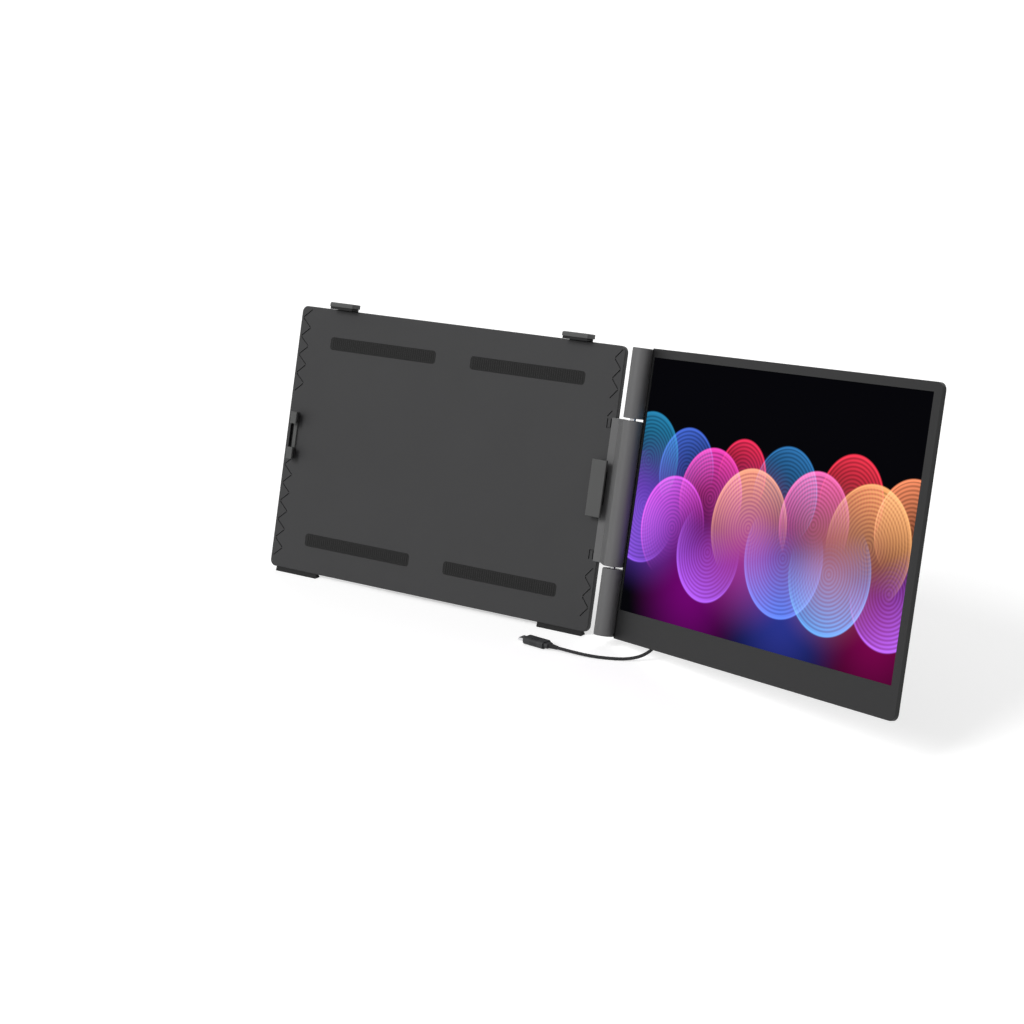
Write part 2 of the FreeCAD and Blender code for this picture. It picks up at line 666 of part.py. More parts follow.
def menu_rocker():
    """Two-way key that tips about its middle."""
    cap = box(BAY_X1 - 1.0, BAY_X1 + 0.9, BUTTON_Y - 1.55, BUTTON_Y + 1.55, ROCKER_Z - 7.7, ROCKER_Z + 7.7)
    cap = bevel_edges(cap, 0.4, lambda p, e: abs(p.x - BAY_X1 - 0.9) < 0.01)
    pivot = rod(0.9, vec(BAY_X1 - 1.6, BUTTON_Y - 1.55, ROCKER_Z), Y_AXIS, 3.1)
    return fuse([cap, pivot])


# Lid clips

def top_clip(x):
    """Sliding clip that hooks over the lid's upper edge."""
    low, high = CLIP_HEAD_Z
    head = box(x - CLIP_W / 2, x + CLIP_W / 2, CLIP_FRONT_Y, CLIP_BACK_Y, low, high)
    head = round_edges(head, 1.8, lambda p, e: p.z > high - 0.01 and p.y < CLIP_FRONT_Y + 0.01)
    head = round_edges(head, 1.2, lambda p, e: abs(abs(p.x - x) - CLIP_W / 2) < 0.01
                       and abs(p.z - (low + high) / 2) < 1.5)
    stem = box(x - STEM_HALF, x + STEM_HALF, SLIDER_Y0, SLIDER_Y1, TOP_STEM_Z0, low + 0.5)
    window = rounded_plate(x - 6.0, x + 6.0, SLIDER_Y0 - 1, SLIDER_Y1 + 1, 190.0, 214.0, 3.0)
    ear = box(x - 2.5, x + 2.5, SLIDER_Y0, SLIDER_Y1, TOP_STEM_Z0 - 6.0, TOP_STEM_Z0 + 0.5)
    return cut(fuse([head, stem, ear]), [window])


def top_clip_pad(x):
    """Rubber lining under the clip's head, with a small lip in front of the lid."""
    low = CLIP_HEAD_Z[0]
    roof = box(x - CLIP_W / 2 + 1, x + CLIP_W / 2 - 1, CLIP_FRONT_Y + 0.6, FRAME_Y0 - 0.3, TOP_SEAT_Z, low)
    lip = box(x - CLIP_W / 2 + 1, x + CLIP_W / 2 - 1, CLIP_FRONT_Y + 0.6, -0.4, TOP_SEAT_Z - 1.0, low)
    return fuse([roof, lip])


def clip_guides(x):
    """Channel rails that keep one top clip's stem on the frame's front half."""
    rails = []
    inner = FRAME_Y0 + FRAME_WALL
    for side in (-1, 1):
        wall = box(-1.4, 1.4, inner, SLIDER_Y1 + SLIDER_GAP, 186.0, 222.0)
        wall.translate(vec(x + side * (STEM_HALF + 1.6), 0, 0))
        lip = box(-2.6, 2.6, SLIDER_Y1 + SLIDER_GAP, SLIDER_Y1 + SLIDER_GAP + 1.0, 186.0, 222.0)
        lip.translate(vec(x + side * (STEM_HALF + 0.4), 0, 0))
        rails.append(fuse([wall, lip]))
    return rails


def side_guides(x0, x1):
    """Channel rails above and below one side clip's slider."""
    rails = []
    inner = FRAME_Y0 + FRAME_WALL
    for middle, side in ((130.6, -1), (98.4, 1)):
        wall = box(x0, x1, inner, SLIDER_Y1 + SLIDER_GAP, middle - 0.9, middle + 0.9)
        lip = box(x0, x1, SLIDER_Y1 + SLIDER_GAP, SLIDER_Y1 + SLIDER_GAP + 1.0,
                  middle + 0.9 * side - 0.9, middle + 0.9 * side + 0.9)
        rails.append(fuse([wall, lip]))
    return rails


def all_guides():
    rails = []
    for x in CLIP_X:
        rails += clip_guides(x)
    rails += side_guides(314.0, 330.0)
    rails += side_guides(LID_W - 330.0, LID_W - 314.0)
    return Part.makeCompound(rails)


def side_slider():
    """Slider of a side clip, with the stem that comes forward through the rail."""
    stem_x0, stem_x1 = SIDE_STEM
    low, high = SIDE_SLIDER_Z
    return [box(stem_x0, stem_x1, FRAME_Y0 - 0.5, SLIDER_Y1, low, high),
            box(SIDE_SLIDER_X0, stem_x1, SLIDER_Y0, SLIDER_Y1, low, high),
            box(SIDE_SLIDER_X0 - 6.0, SIDE_SLIDER_X0 + 0.5, SLIDER_Y0, SLIDER_Y1, 112.0, 117.0)]


def right_side_clip():
    """Side clip with a broad thumb flange over the lid's right edge."""
    low, high = TAB_Z
    stem_x0, stem_x1 = SIDE_STEM
    face = box(LID_W - 0.5, TAB_OUTER, TAB_FRONT_Y, TAB_FRONT_Y + TAB_FLANGE_T, low, high)
    block = box(stem_x0, stem_x1, TAB_FRONT_Y + 1, FRAME_Y0 - 0.2, low, high)
    tab = fuse([face, block])
    tab = round_edges(tab, 0.8, lambda p, e: abs(p.y - TAB_FRONT_Y) < 0.01)
    return fuse([tab] + side_slider())


def left_side_clip():
    """Side clip with two short fingers over the lid's left edge, drawn at the right and mirrored."""
    low, high = FINGER_Z
    stem_x0, stem_x1 = SIDE_STEM
    face = box(LID_W - 0.5, stem_x1, TAB_FRONT_Y, TAB_FRONT_Y + TAB_FLANGE_T, low, high)
    block = box(stem_x0, stem_x1, TAB_FRONT_Y + 1, FRAME_Y0 - 0.2, low, high)
    tab = fuse([face, block])
    tab = round_edges(tab, 0.6, lambda p, e: abs(p.y - TAB_FRONT_Y) < 0.01)
    tab = fuse([tab] + side_slider())
    tab = tab.mirror(vec(LID_W / 2, 0, 0), X_AXIS)
    window = box(-9.0, 4.0, TAB_FRONT_Y - 1, FRAME_Y0 - 1.6, *FINGER_WINDOW)
    return tab.cut(window)


def side_pad(mirror):
    """Rubber lining between the side tab and the lid's edge."""
    low, high = FINGER_Z
    x1 = SIDE_STEM[0]
    pads = [box(x1 - 0.7, x1, -0.4, FRAME_Y0 - 0.4, low + 1, low + 10),
            box(x1 - 0.7, x1, -0.4, FRAME_Y0 - 0.4, high - 10, high - 1)]
    pad = Part.makeCompound(pads)
    if mirror:
        pad = pad.mirror(vec(LID_W / 2, 0, 0), X_AXIS)
    return pad


def coil_spring(length, turns):
    """Extension spring along z from the origin."""
    path = Part.makeHelix(length / turns, length, SPRING_COIL_R)
    profile = Part.Wire(Part.makeCircle(SPRING_WIRE_R, vec(SPRING_COIL_R, 0, 0), Y_AXIS))
    return Part.Wire(path).makePipeShell([profile], True, True)


def top_spring(x):
    spring = coil_spring(40.0, 16)
    spring.translate(vec(x, SPRING_Y, 131.0))
    return spring


def side_spring(mirror):
    spring = coil_spring(26.0, 11)
    spring.rotate(vec(0, 0, 0), Y_AXIS, 90)
    spring.translate(vec(SIDE_SPRING_X, SPRING_Y, sum(SIDE_SLIDER_Z) / 2))
    if mirror:
        spring = spring.mirror(vec(LID_W / 2, 0, 0), X_AXIS)
    return spring


def spring_posts():
    """Posts on the front half that the clips' springs hook on."""
    inner = FRAME_Y0 + FRAME_WALL
    posts = [box(x - 3, x + 3, inner, 12.2, 126.0, 130.5) for x in CLIP_X]
    x0, x1 = SIDE_POST_X
    posts.append(box(x0, x1, inner, 11.9, 111.5, 117.5))
    posts.append(box(LID_W - x1, LID_W - x0, inner, 11.9, 111.5, 117.5))
    return Part.makeCompound(posts)


# Kickstand

def kickstand_plate():
    """Plate that folds flat into the frame's back; drawn folded."""
    low = STAND_AXIS_Z - STAND_LENGTH + 2.2
    plate = rounded_plate(STAND_X0, STAND_X1, STAND_Y0, STAND_Y0 + STAND_T, low, STAND_AXIS_Z + 0.6, 5.0)
    top = box(STAND_X0, STAND_X1, STAND_Y0, STAND_Y0 + STAND_T, STAND_AXIS_Z - 12, STAND_AXIS_Z)
    barrel = rod(STAND_BARREL_R, vec(STAND_X0, STAND_AXIS_Y, STAND_AXIS_Z), X_AXIS, STAND_X1 - STAND_X0)
    plate = plate.cut(box(STAND_X0 - 1, STAND_X1 + 1, 0, 40, STAND_AXIS_Z, STAND_AXIS_Z + 9))
    plate = fuse([plate, top, barrel])
    middle = (STAND_X0 + STAND_X1) / 2
    notch = rod(13.0, vec(middle, STAND_Y0 - 1, low - 5.0), Y_AXIS, 9)
    bore = rod(STAND_PIN_R + RUNNING_GAP, vec(STAND_X0 - 1, STAND_AXIS_Y, STAND_AXIS_Z), X_AXIS,
               STAND_X1 - STAND_X0 + 2)
    window = rounded_plate(STAND_X0 + 30, STAND_X1 - 30, STAND_Y0 + STAND_T - 0.5, 40,
                           low + 30, STAND_AXIS_Z - 30, 8.0)
    return cut(plate, [notch, bore, window])


def kickstand_foot():
    """Rubber shoes on the plate's lower edge; their ends reach the desk."""
    low = STAND_AXIS_Z - STAND_LENGTH + 2.2
    shoes = []
    for x0, x1 in ((STAND_X0 + 8, STAND_X0 + 68), (STAND_X1 - 68, STAND_X1 - 8)):
        edge = rod(STAND_T / 2, vec(x0, STAND_Y0 + STAND_T / 2, low - 1.1), X_AXIS, x1 - x0)
        strip = box(x0, x1, STAND_Y0, STAND_Y0 + STAND_T, low - 1.1, low)
        shoes.append(fuse([edge, strip]))
    return Part.makeCompound(shoes)


def kickstand_pins():
    pins = []
    for x in (STAND_X0 - 4.4, STAND_X1 - 13.6):
        pins.append(rod(STAND_PIN_R, vec(x, STAND_AXIS_Y, STAND_AXIS_Z), X_AXIS, 18.0))
    return Part.makeCompound(pins)


# Link lead

def rounded_bar(width, thickness, length, corner):
    """Moulded plug body along z from the origin, wide along x, with all long edges round."""
    bar = box(-width / 2, width / 2, -thickness / 2, thickness / 2, 0, length)
    return round_edges(bar, corner, lambda p, e: abs(p.z - length / 2) < 0.01)


def plug_metal(origin_z):
    """Metal nose of a plug, wide along x, pointing down from origin_z."""
    width, thickness, length = PLUG_SHELL
    nose = box(-width / 2, width / 2, -thickness / 2, thickness / 2, origin_z - length, origin_z)
    nose = round_edges(nose, 1.1, lambda p, e: abs(p.z - origin_z + length / 2) < 0.01)
    wall = 0.3
    mouth = box(-width / 2 + wall, width / 2 - wall, -thickness / 2 + wall, thickness / 2 - wall,
                origin_z - length - 1, origin_z - 1.0)
    mouth = round_edges(mouth, 0.7, lambda p, e: abs(p.z - origin_z + 1 + length / 2) < 1.01)
    return nose.cut(mouth)


def plug_mould():
    """Moulded grip of a plug along z from the origin, with a stepped neck for the cord."""
    grip = rounded_bar(PLUG_W, PLUG_T, PLUG_L - 4.0, 2.6)
    step = rounded_bar(PLUG_W - 3.2, PLUG_T - 1.4, PLUG_L, 2.0)
    return fuse([grip, step])


def strain_relief():
    """Tapered sleeve from the grip to the cord, along z from the origin."""
    sleeve = Part.makeCone(2.3, CORD_R + 0.35, RELIEF_L)
    return sleeve.cut(rod(CORD_R, vec(0, 0, -1), Z_AXIS, RELIEF_L + 2))


def to_screen_port(shape):
    """Turn a plug drawn along z so that it hangs from the screen's first port."""
    moved = shape.copy()
    moved.rotate(vec(0, 0, 0), X_AXIS, 180)
    moved.translate(vec(PORT_X[0], PORT_Y, BAY_Z0 - 0.3))
    return lean(swing(moved))


def to_desk(shape):
    """Turn a plug drawn along z so that it lies on the desk from its nose to its tail."""
    moved = shape.copy()
    moved.rotate(vec(0, 0, 0), X_AXIS, 90)
    moved.rotate(vec(0, 0, 0), Z_AXIS, 90)
    dx = FREE_PLUG_TAIL[0] - FREE_PLUG_NOSE[0]
    dy = FREE_PLUG_TAIL[1] - FREE_PLUG_NOSE[1]
    moved.rotate(vec(0, 0, 0), Z_AXIS, math.degrees(math.atan2(dy, dx)))
    reach = PLUG_SHELL[2] / math.hypot(dx, dy)
    moved.translate(vec(FREE_PLUG_NOSE[0] + dx * reach, FREE_PLUG_NOSE[1] + dy * reach,
                        DESK_Z + PLUG_T / 2 + PLUG_LIFT))
    return moved


def plug_end(place):
    """Point and direction in which the cord leaves a placed plug."""
    tail = Part.Vertex(0, 0, PLUG_L + RELIEF_L)
    start = Part.Vertex(0, 0, PLUG_L + RELIEF_L - 1)
    tail = place(tail).Point
    return tail, tail - place(start).Point


def cord_route():
    """Points of the cord from the screen's plug to the free plug, by hand between the plugs."""
    exit_point, exit_way = plug_end(to_screen_port)
    tail_point, tail_way = plug_end(to_desk)
    floor = DESK_Z + CORD_R
    return [exit_point - exit_way * 4, exit_point + exit_way * 9, vec(439.0, -15.0, -1.0),
            vec(430.5, -21.5, -10.2), vec(417.0, -27.5, floor + 0.3), vec(401.5, -33.5, floor),
            vec(385.0, -38.0, floor + 0.5), tail_point + tail_way * 9, tail_point - tail_way * 4]


def cord_path(points):
    """Straight runs joined by tangent arcs; prints each arc's radius."""
    edges = []
    last = points[0]
    radii = []
    for before, corner, after in zip(points, points[1:], points[2:]):
        toward = (before - corner).normalize()
        onward = (after - corner).normalize()
        turn = math.pi - toward.getAngle(onward)
        reach = 0.45 * min((before - corner).Length, (after - corner).Length)
        radii.append(round(reach / math.tan(turn / 2), 1))
        start = corner + toward * reach
        finish = corner + onward * reach
        centre_way = (toward + onward).normalize()
        radius = reach / math.tan(turn / 2)
        middle = corner + centre_way * (radius / math.cos(turn / 2) - radius)
        edges.append(Part.LineSegment(last, start).toShape())
        edges.append(Part.Arc(start, middle, finish).toShape())
        last = finish
    edges.append(Part.LineSegment(last, points[-1]).toShape())
    print("cord radii", radii)
    return Part.Wire(edges)


def link_cord():
    points = cord_route()
    path = cord_path(points)
    profile = Part.Wire(Part.makeCircle(CORD_R, points[0], points[1] - points[0]))
    tube = path.makePipeShell([profile], True, False)
    expected = math.pi * CORD_R ** 2 * path.Length
    print("cord length", round(path.Length, 1), "volume ratio", round(tube.Volume / expected, 4))
    return tube


# Assembly

def frame_nodes():
    """Pieces of the carrier frame and hinge arm, leaned but not yet placed."""
    nodes = {
        "frame_tray": frame_tray(),
        "frame_rear_cover": frame_rear_cover(),
        "stiffener_plate": stiffener_plate(),
        "frame_screws": frame_screws(),
        "lid_grip_pads": lid_grip_pads(),
        "clip_guides": all_guides(),
        "spring_posts": spring_posts(),
        "hinge_arm": hinge_arm(),
        "hinge_shafts": hinge_shafts(),
        "kickstand_pins": kickstand_pins(),
        "kickstand_plate": open_stand(kickstand_plate()),
        "kickstand_shoes": open_stand(kickstand_foot()),
    }
    for side, x in zip(("left", "right"), CLIP_X):
        nodes["top_clip_" + side] = top_clip(x)
        nodes["top_clip_pad_" + side] = top_clip_pad(x)
        nodes["top_clip_spring_" + side] = top_spring(x)
    for side in ("left", "right"):
        mirror = side == "left"
        nodes["side_clip_" + side] = left_side_clip() if mirror else right_side_clip()
        nodes["side_clip_pads_" + side] = side_pad(mirror)
        nodes["side_clip_spring_" + side] = side_spring(mirror)
    leaned = {name: lean(shape) for name, shape in nodes.items()}
    leaned["frame_feet"] = frame_feet()
    return leaned


def screen_nodes():
    """Pieces of the swinging screen."""
    nodes = {
        "screen_bezel": screen_bezel(),
        "display_panel": display_panel(),
        "backlight_plate": backlight_plate(),
        "screen_rear_shell": screen_rear_shell(),
        "electronics_cover": electronics_cover(),
        "screen_screws": screen_screws(),
        "driver_board": driver_board(),
        "speakers": speakers(),
        "usb_c_ports": usb_c_ports(),
        "mini_hdmi_port": mini_hdmi_port(),
        "port_tongues": port_tongues(),
        "hinge_cover_upper": hinge_cover(*UPPER_KNUCKLE),
        "hinge_cover_lower": hinge_cover(*LOWER_KNUCKLE),
        "friction_bushes": friction_bushes(),
        "hinge_end_caps": hinge_end_caps(),
        "hinge_brackets": hinge_brackets(),
        "power_button": power_button(),
        "menu_rocker": menu_rocker(),
    }
    return {name: lean(swing(shape)) for name, shape in nodes.items()}


def cord_nodes():
    """The link lead: cord, its two plugs and their sleeves."""
    return {
        "link_cord": link_cord(),
        "screen_plug_nose": to_screen_port(plug_metal(0.0)),
        "screen_plug_grip": to_screen_port(plug_mould()),
        "screen_plug_sleeve": to_screen_port(shifted(strain_relief(), PLUG_L)),
        "free_plug_nose": to_desk(plug_metal(0.0)),
        "free_plug_grip": to_desk(plug_mould()),
        "free_plug_sleeve": to_desk(shifted(strain_relief(), PLUG_L)),
    }


def shifted(shape, height):
    moved = shape.copy()
    moved.translate(vec(0, 0, height))
    return moved


def origin_shift(solids):
    """Move that puts the middle of the cordless object's foot at the origin."""
    bounds = Part.makeCompound(list(solids.values())).optimalBoundingBox(False)
    return vec(-(bounds.XMin + bounds.XMax) / 2, -(bounds.YMin + bounds.YMax) / 2, -DESK_Z)


def build():
    """All sub-parts by node name, in the part's own frame."""
    solids = frame_nodes()
    solids.update(screen_nodes())
    shift = origin_shift(solids)
    solids.update(cord_nodes())
    for shape in solids.values():
        shape.translate(shift)
    return solids, shift


def main():
    os.makedirs("parts", exist_ok=True)
    solids, shift = build()
    print("shift", [round(value, 3) for value in shift], "stand angle", round(stand_angle(), 3))
    for name, shape in solids.items():
        if not shape.isValid():
            print("invalid", name)
        shape.exportStep("parts/" + name + ".step")


main()
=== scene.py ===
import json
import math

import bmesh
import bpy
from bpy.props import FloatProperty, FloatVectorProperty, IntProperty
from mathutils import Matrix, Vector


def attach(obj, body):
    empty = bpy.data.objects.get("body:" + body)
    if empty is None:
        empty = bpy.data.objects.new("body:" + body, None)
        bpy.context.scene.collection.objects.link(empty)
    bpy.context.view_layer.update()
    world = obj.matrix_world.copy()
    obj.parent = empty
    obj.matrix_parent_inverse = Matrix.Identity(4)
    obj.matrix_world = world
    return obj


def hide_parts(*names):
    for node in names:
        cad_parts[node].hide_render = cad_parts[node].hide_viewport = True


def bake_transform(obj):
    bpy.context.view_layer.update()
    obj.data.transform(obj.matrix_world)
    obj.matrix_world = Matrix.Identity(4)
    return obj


bl_info = {
    "name": "Laptop screen extender",
    "version": (1, 0, 0),
    "blender": (4, 5, 0),
    "location": "View3D > Sidebar > Extender",
    "description": "Finishes a clip-on second display and its carrier frame, and sets a studio round it",
    "category": "Object",
}

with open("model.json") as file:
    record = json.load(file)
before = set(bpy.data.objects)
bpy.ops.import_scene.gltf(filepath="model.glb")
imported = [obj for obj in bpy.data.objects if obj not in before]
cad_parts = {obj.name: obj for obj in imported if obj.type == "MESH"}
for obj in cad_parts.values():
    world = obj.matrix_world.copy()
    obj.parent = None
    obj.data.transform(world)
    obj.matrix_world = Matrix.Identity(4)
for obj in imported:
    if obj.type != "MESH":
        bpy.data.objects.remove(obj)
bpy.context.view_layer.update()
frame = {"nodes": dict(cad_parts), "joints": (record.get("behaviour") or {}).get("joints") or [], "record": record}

# Places taken from the frame
RECORD = frame["record"]
JOINTS = {joint["name"]: joint for joint in frame["joints"]}
MOUNTS = {mount["name"]: mount for mount in RECORD["mounts"]}
SLOT_OF = {part["node"]: part["material_slot"] for part in RECORD["subparts"]}

UP = Vector(JOINTS["screen_swing"]["axis"])
RIGHT = Vector((1.0, 0.0, 0.0))
BACK = UP.cross(RIGHT)
SWING = math.radians(21.0)
JOINT_HEIGHT = 0.114
HINGE = Vector(JOINTS["screen_swing"]["pos_m"]) - UP * JOINT_HEIGHT
HINGE_IN_PANEL = (0.3798, -0.007)

# Screen sizes about the hinge axis, in metres
DISPLAY_LEFT = 0.0096
DISPLAY_LOW = 0.0162
PANEL_FRONT = 0.0068
PANEL_BACK = 0.0088
PANEL_LIP = 0.0014
PORT = (0.060, 0.0137, 0.0492)

# Route of the lead from the screen's plug to the free plug, in metres
CORD_ROUTE = ((0.08778, -0.00343, 0.03739), (0.08778, -0.00707, 0.02491), (0.08606, -0.00830, 0.01500),
              (0.07756, -0.01480, 0.00580), (0.06406, -0.02080, 0.00170), (0.04856, -0.02680, 0.00140),
              (0.03206, -0.03130, 0.00190), (0.00889, -0.03339, 0.00330), (-0.00402, -0.03184, 0.00330))

# Camera that took the photograph, in the object's frame
CAMERA_AT = (1.125985, -1.548882, 0.693120)
CAMERA_RIGHT = (0.798083, 0.601457, -0.036237)
CAMERA_UP = (-0.145749, 0.251051, 0.956938)
CAMERA_LENS = 83.15
SENSOR = 36.0
CAMERA_BACK = Vector(CAMERA_RIGHT).cross(Vector(CAMERA_UP))

# Light: extra floor brightness, and how bright the surroundings are to the surfaces
FLOOR_LIFT = 0.5
AMBIENT = 0.42
# Lamp: azimuth, elevation and spread in degrees, and strength
KEY_LAMP = (-106.0, 38.0, 28.0, 1.9)
BACK_LAMP = (110.0, 40.0, 45.0, 0.8)

# Specular level of the surfaces
PLASTIC_SHINE = 0.28
RUBBER_SHINE = 0.18

# Grip pads in panel coordinates: left, right, low, high, then front, back and inset
PAD_ZONES = ((0.024, 0.150, 0.200, 0.212), (0.190, 0.316, 0.200, 0.212),
             (0.024, 0.150, 0.014, 0.026), (0.190, 0.316, 0.014, 0.026))
PAD_FRONT = 0.00575
PAD_BACK = 0.0066
PAD_MARGIN = 0.0001
PAD_BASE_DROP = 0.0003
PAD_RIB_DEPTH = 0.0006
PAD_RIB_INSET = 0.0008
PAD_EDGE = 0.0002

# Plug grip in metres: outline, rounded nose end, and its finger grooves
PLUG_WIDTH = 0.0116
PLUG_THICK = 0.0062
PLUG_CORNER = 0.0026
PLUG_EDGE = 0.00035
PLUG_NECK = 0.004
GRIP_GROOVES = 5
SLEEVE_RADIUS = 0.0023
SLEEVE_WALL = 0.00035

# Picture on the display: overlapping ringed discs over soft glows, in units of its height
# A glow is x, y, radius and colour; a disc is x, y, radius, colour and lit side in degrees
PICTURE_GLOWS = (
    (0.10, 0.40, 0.34, (0.10, 0.04, 0.40)),
    (0.42, 0.16, 0.40, (0.14, 0.00, 0.14)),
    (0.72, 0.36, 0.36, (0.30, 0.03, 0.24)),
    (0.98, 0.14, 0.40, (0.02, 0.03, 0.24)),
    (1.20, 0.36, 0.34, (0.32, 0.09, 0.09)),
    (1.48, 0.16, 0.38, (0.16, 0.00, 0.06)),
)
PICTURE_DISCS = (
    (0.05, 0.60, 0.19, (0.02, 0.22, 0.42), 80.0),
    (0.30, 0.58, 0.17, (0.06, 0.14, 0.66), 110.0),
    (0.06, 0.42, 0.22, (0.30, 0.10, 0.95), 215.0),
    (0.26, 0.36, 0.20, (0.75, 0.08, 0.85), 120.0),
    (0.47, 0.50, 0.19, (0.90, 0.06, 0.50), 95.0),
    (0.64, 0.60, 0.14, (0.85, 0.03, 0.10), 75.0),
    (0.50, 0.30, 0.19, (0.40, 0.12, 0.98), 250.0),
    (0.72, 0.42, 0.22, (1.00, 0.40, 0.20), 105.0),
    (0.90, 0.56, 0.18, (0.03, 0.18, 0.45), 70.0),
    (0.94, 0.34, 0.22, (0.12, 0.24, 1.00), 265.0),
    (1.08, 0.48, 0.19, (0.98, 0.16, 0.50), 100.0),
    (1.26, 0.58, 0.17, (0.92, 0.04, 0.08), 80.0),
    (1.20, 0.32, 0.22, (0.10, 0.42, 1.00), 285.0),
    (1.38, 0.44, 0.22, (1.00, 0.44, 0.16), 70.0),
    (1.52, 0.30, 0.20, (0.46, 0.14, 0.98), 300.0),
    (1.58, 0.52, 0.18, (1.00, 0.30, 0.14), 110.0),
)
PICTURE_ASPECT = 1.6
RINGS_PER_UNIT = 430.0
PICTURE_GAIN = 1.1


def axes_matrix(x_axis, y_axis, z_axis, origin):
    """Matrix whose columns are the three axes and the origin."""
    turn = Matrix((x_axis, y_axis, z_axis)).transposed().to_4x4()
    return Matrix.Translation(origin) @ turn


def frame_space():
    """Panel coordinates: x right, y back, z up along the frame, with the hinge at HINGE_IN_PANEL."""
    origin = HINGE - RIGHT * HINGE_IN_PANEL[0] - BACK * HINGE_IN_PANEL[1]
    return axes_matrix(RIGHT, BACK, UP, origin)


def screen_space():
    """Screen coordinates about the hinge axis."""
    across = RIGHT * math.cos(SWING) - BACK * math.sin(SWING)
    behind = RIGHT * math.sin(SWING) + BACK * math.cos(SWING)
    return axes_matrix(across, behind, UP, HINGE)


def screen_plug_space():
    """Plug coordinates: z from the metal nose towards the cord, under the screen's first port."""
    return screen_space() @ Matrix.Translation(PORT) @ Matrix.Rotation(math.pi, 4, "X")


def free_plug_space(nose_length):
    mount = MOUNTS["free_plug"]
    along = -Vector(mount["axis"]).normalized()
    across = Vector((-along.y, along.x, 0.0))
    origin = Vector(mount["pos_m"]) + along * nose_length
    return axes_matrix(across, along.cross(across), along, origin)


# Values a user would change

class ExtenderSizes(bpy.types.PropertyGroup):
    display_width: FloatProperty(
        name="Display width", description="Width of the lit area", default=0.3447, unit="LENGTH")
    display_height: FloatProperty(
        name="Display height", description="Height of the lit area", default=0.2154, unit="LENGTH")
    cord_diameter: FloatProperty(
        name="Cord diameter", description="Outer diameter of the lead", default=0.0028, unit="LENGTH")
    cord_length: FloatProperty(
        name="Cord length", description="Length of the lead between its sleeves", default=0.1218,
        unit="LENGTH")
    nose_length: FloatProperty(
        name="Nose length", description="Length of a plug's metal nose", default=0.0065, unit="LENGTH")
    grip_length: FloatProperty(
        name="Grip length", description="Length of a plug's moulded grip", default=0.027, unit="LENGTH")
    sleeve_length: FloatProperty(
        name="Sleeve length", description="Length of the tapered sleeve", default=0.0085, unit="LENGTH")
    pad_rib_pitch: FloatProperty(
        name="Rib pitch", description="Distance between the ribs of a grip pad", default=0.0024,
        unit="LENGTH")
    floor_size: FloatProperty(
        name="Floor size", description="Side of the studio floor", default=24.0, unit="LENGTH")
    sleeve_ribs: IntProperty(name="Sleeve ribs", description="Rings on a sleeve", default=4)


def colour_property(title, words, value):
    """Colour value with its name and description."""
    return FloatVectorProperty(name=title, description=words, subtype="COLOR", size=3, min=0.0, max=1.0,
                               default=value)


class ExtenderColours(bpy.types.PropertyGroup):
    casing: colour_property("Casing", "Frame casing", (0.030, 0.030, 0.031))
    screen_casing: colour_property("Screen casing", "Back and sides of the screen", (0.012, 0.012, 0.0125))
    bezel: colour_property("Bezel", "Border round the display", (0.0135, 0.0135, 0.014))
    hinge: colour_property("Hinge", "Hinge arm and knuckles", (0.122, 0.122, 0.123))
    clip: colour_property("Clip", "Spring clips", (0.072, 0.073, 0.072))
    rubber: colour_property("Rubber", "Pads, feet and shoes", (0.012, 0.012, 0.012))
    stand: colour_property("Stand", "Anodised kickstand", (0.085, 0.086, 0.09))
    cord: colour_property("Cord", "Sheath of the lead", (0.014, 0.014, 0.015))
    grip: colour_property("Plug grip", "Moulded plug bodies", (0.034, 0.035, 0.037))
    steel: colour_property("Steel", "Plates, pins and springs", (0.56, 0.56, 0.57))
    screw: colour_property("Screw", "Black zinc screws", (0.13, 0.13, 0.135))
    nickel: colour_property("Nickel", "Plug noses and port shells", (0.72, 0.72, 0.74))
    brass: colour_property("Brass", "Hinge bushes", (0.72, 0.53, 0.25))
    board: colour_property("Board", "Circuit board", (0.012, 0.09, 0.04))
    inner: colour_property("Inner plastic", "Hidden mouldings", (0.04, 0.04, 0.042))
    floor: colour_property("Floor", "Studio floor", (0.70, 0.70, 0.70))


def sizes():
    return bpy.context.scene.extender_sizes


def colours():
    return bpy.context.scene.extender_colours


# Node helpers

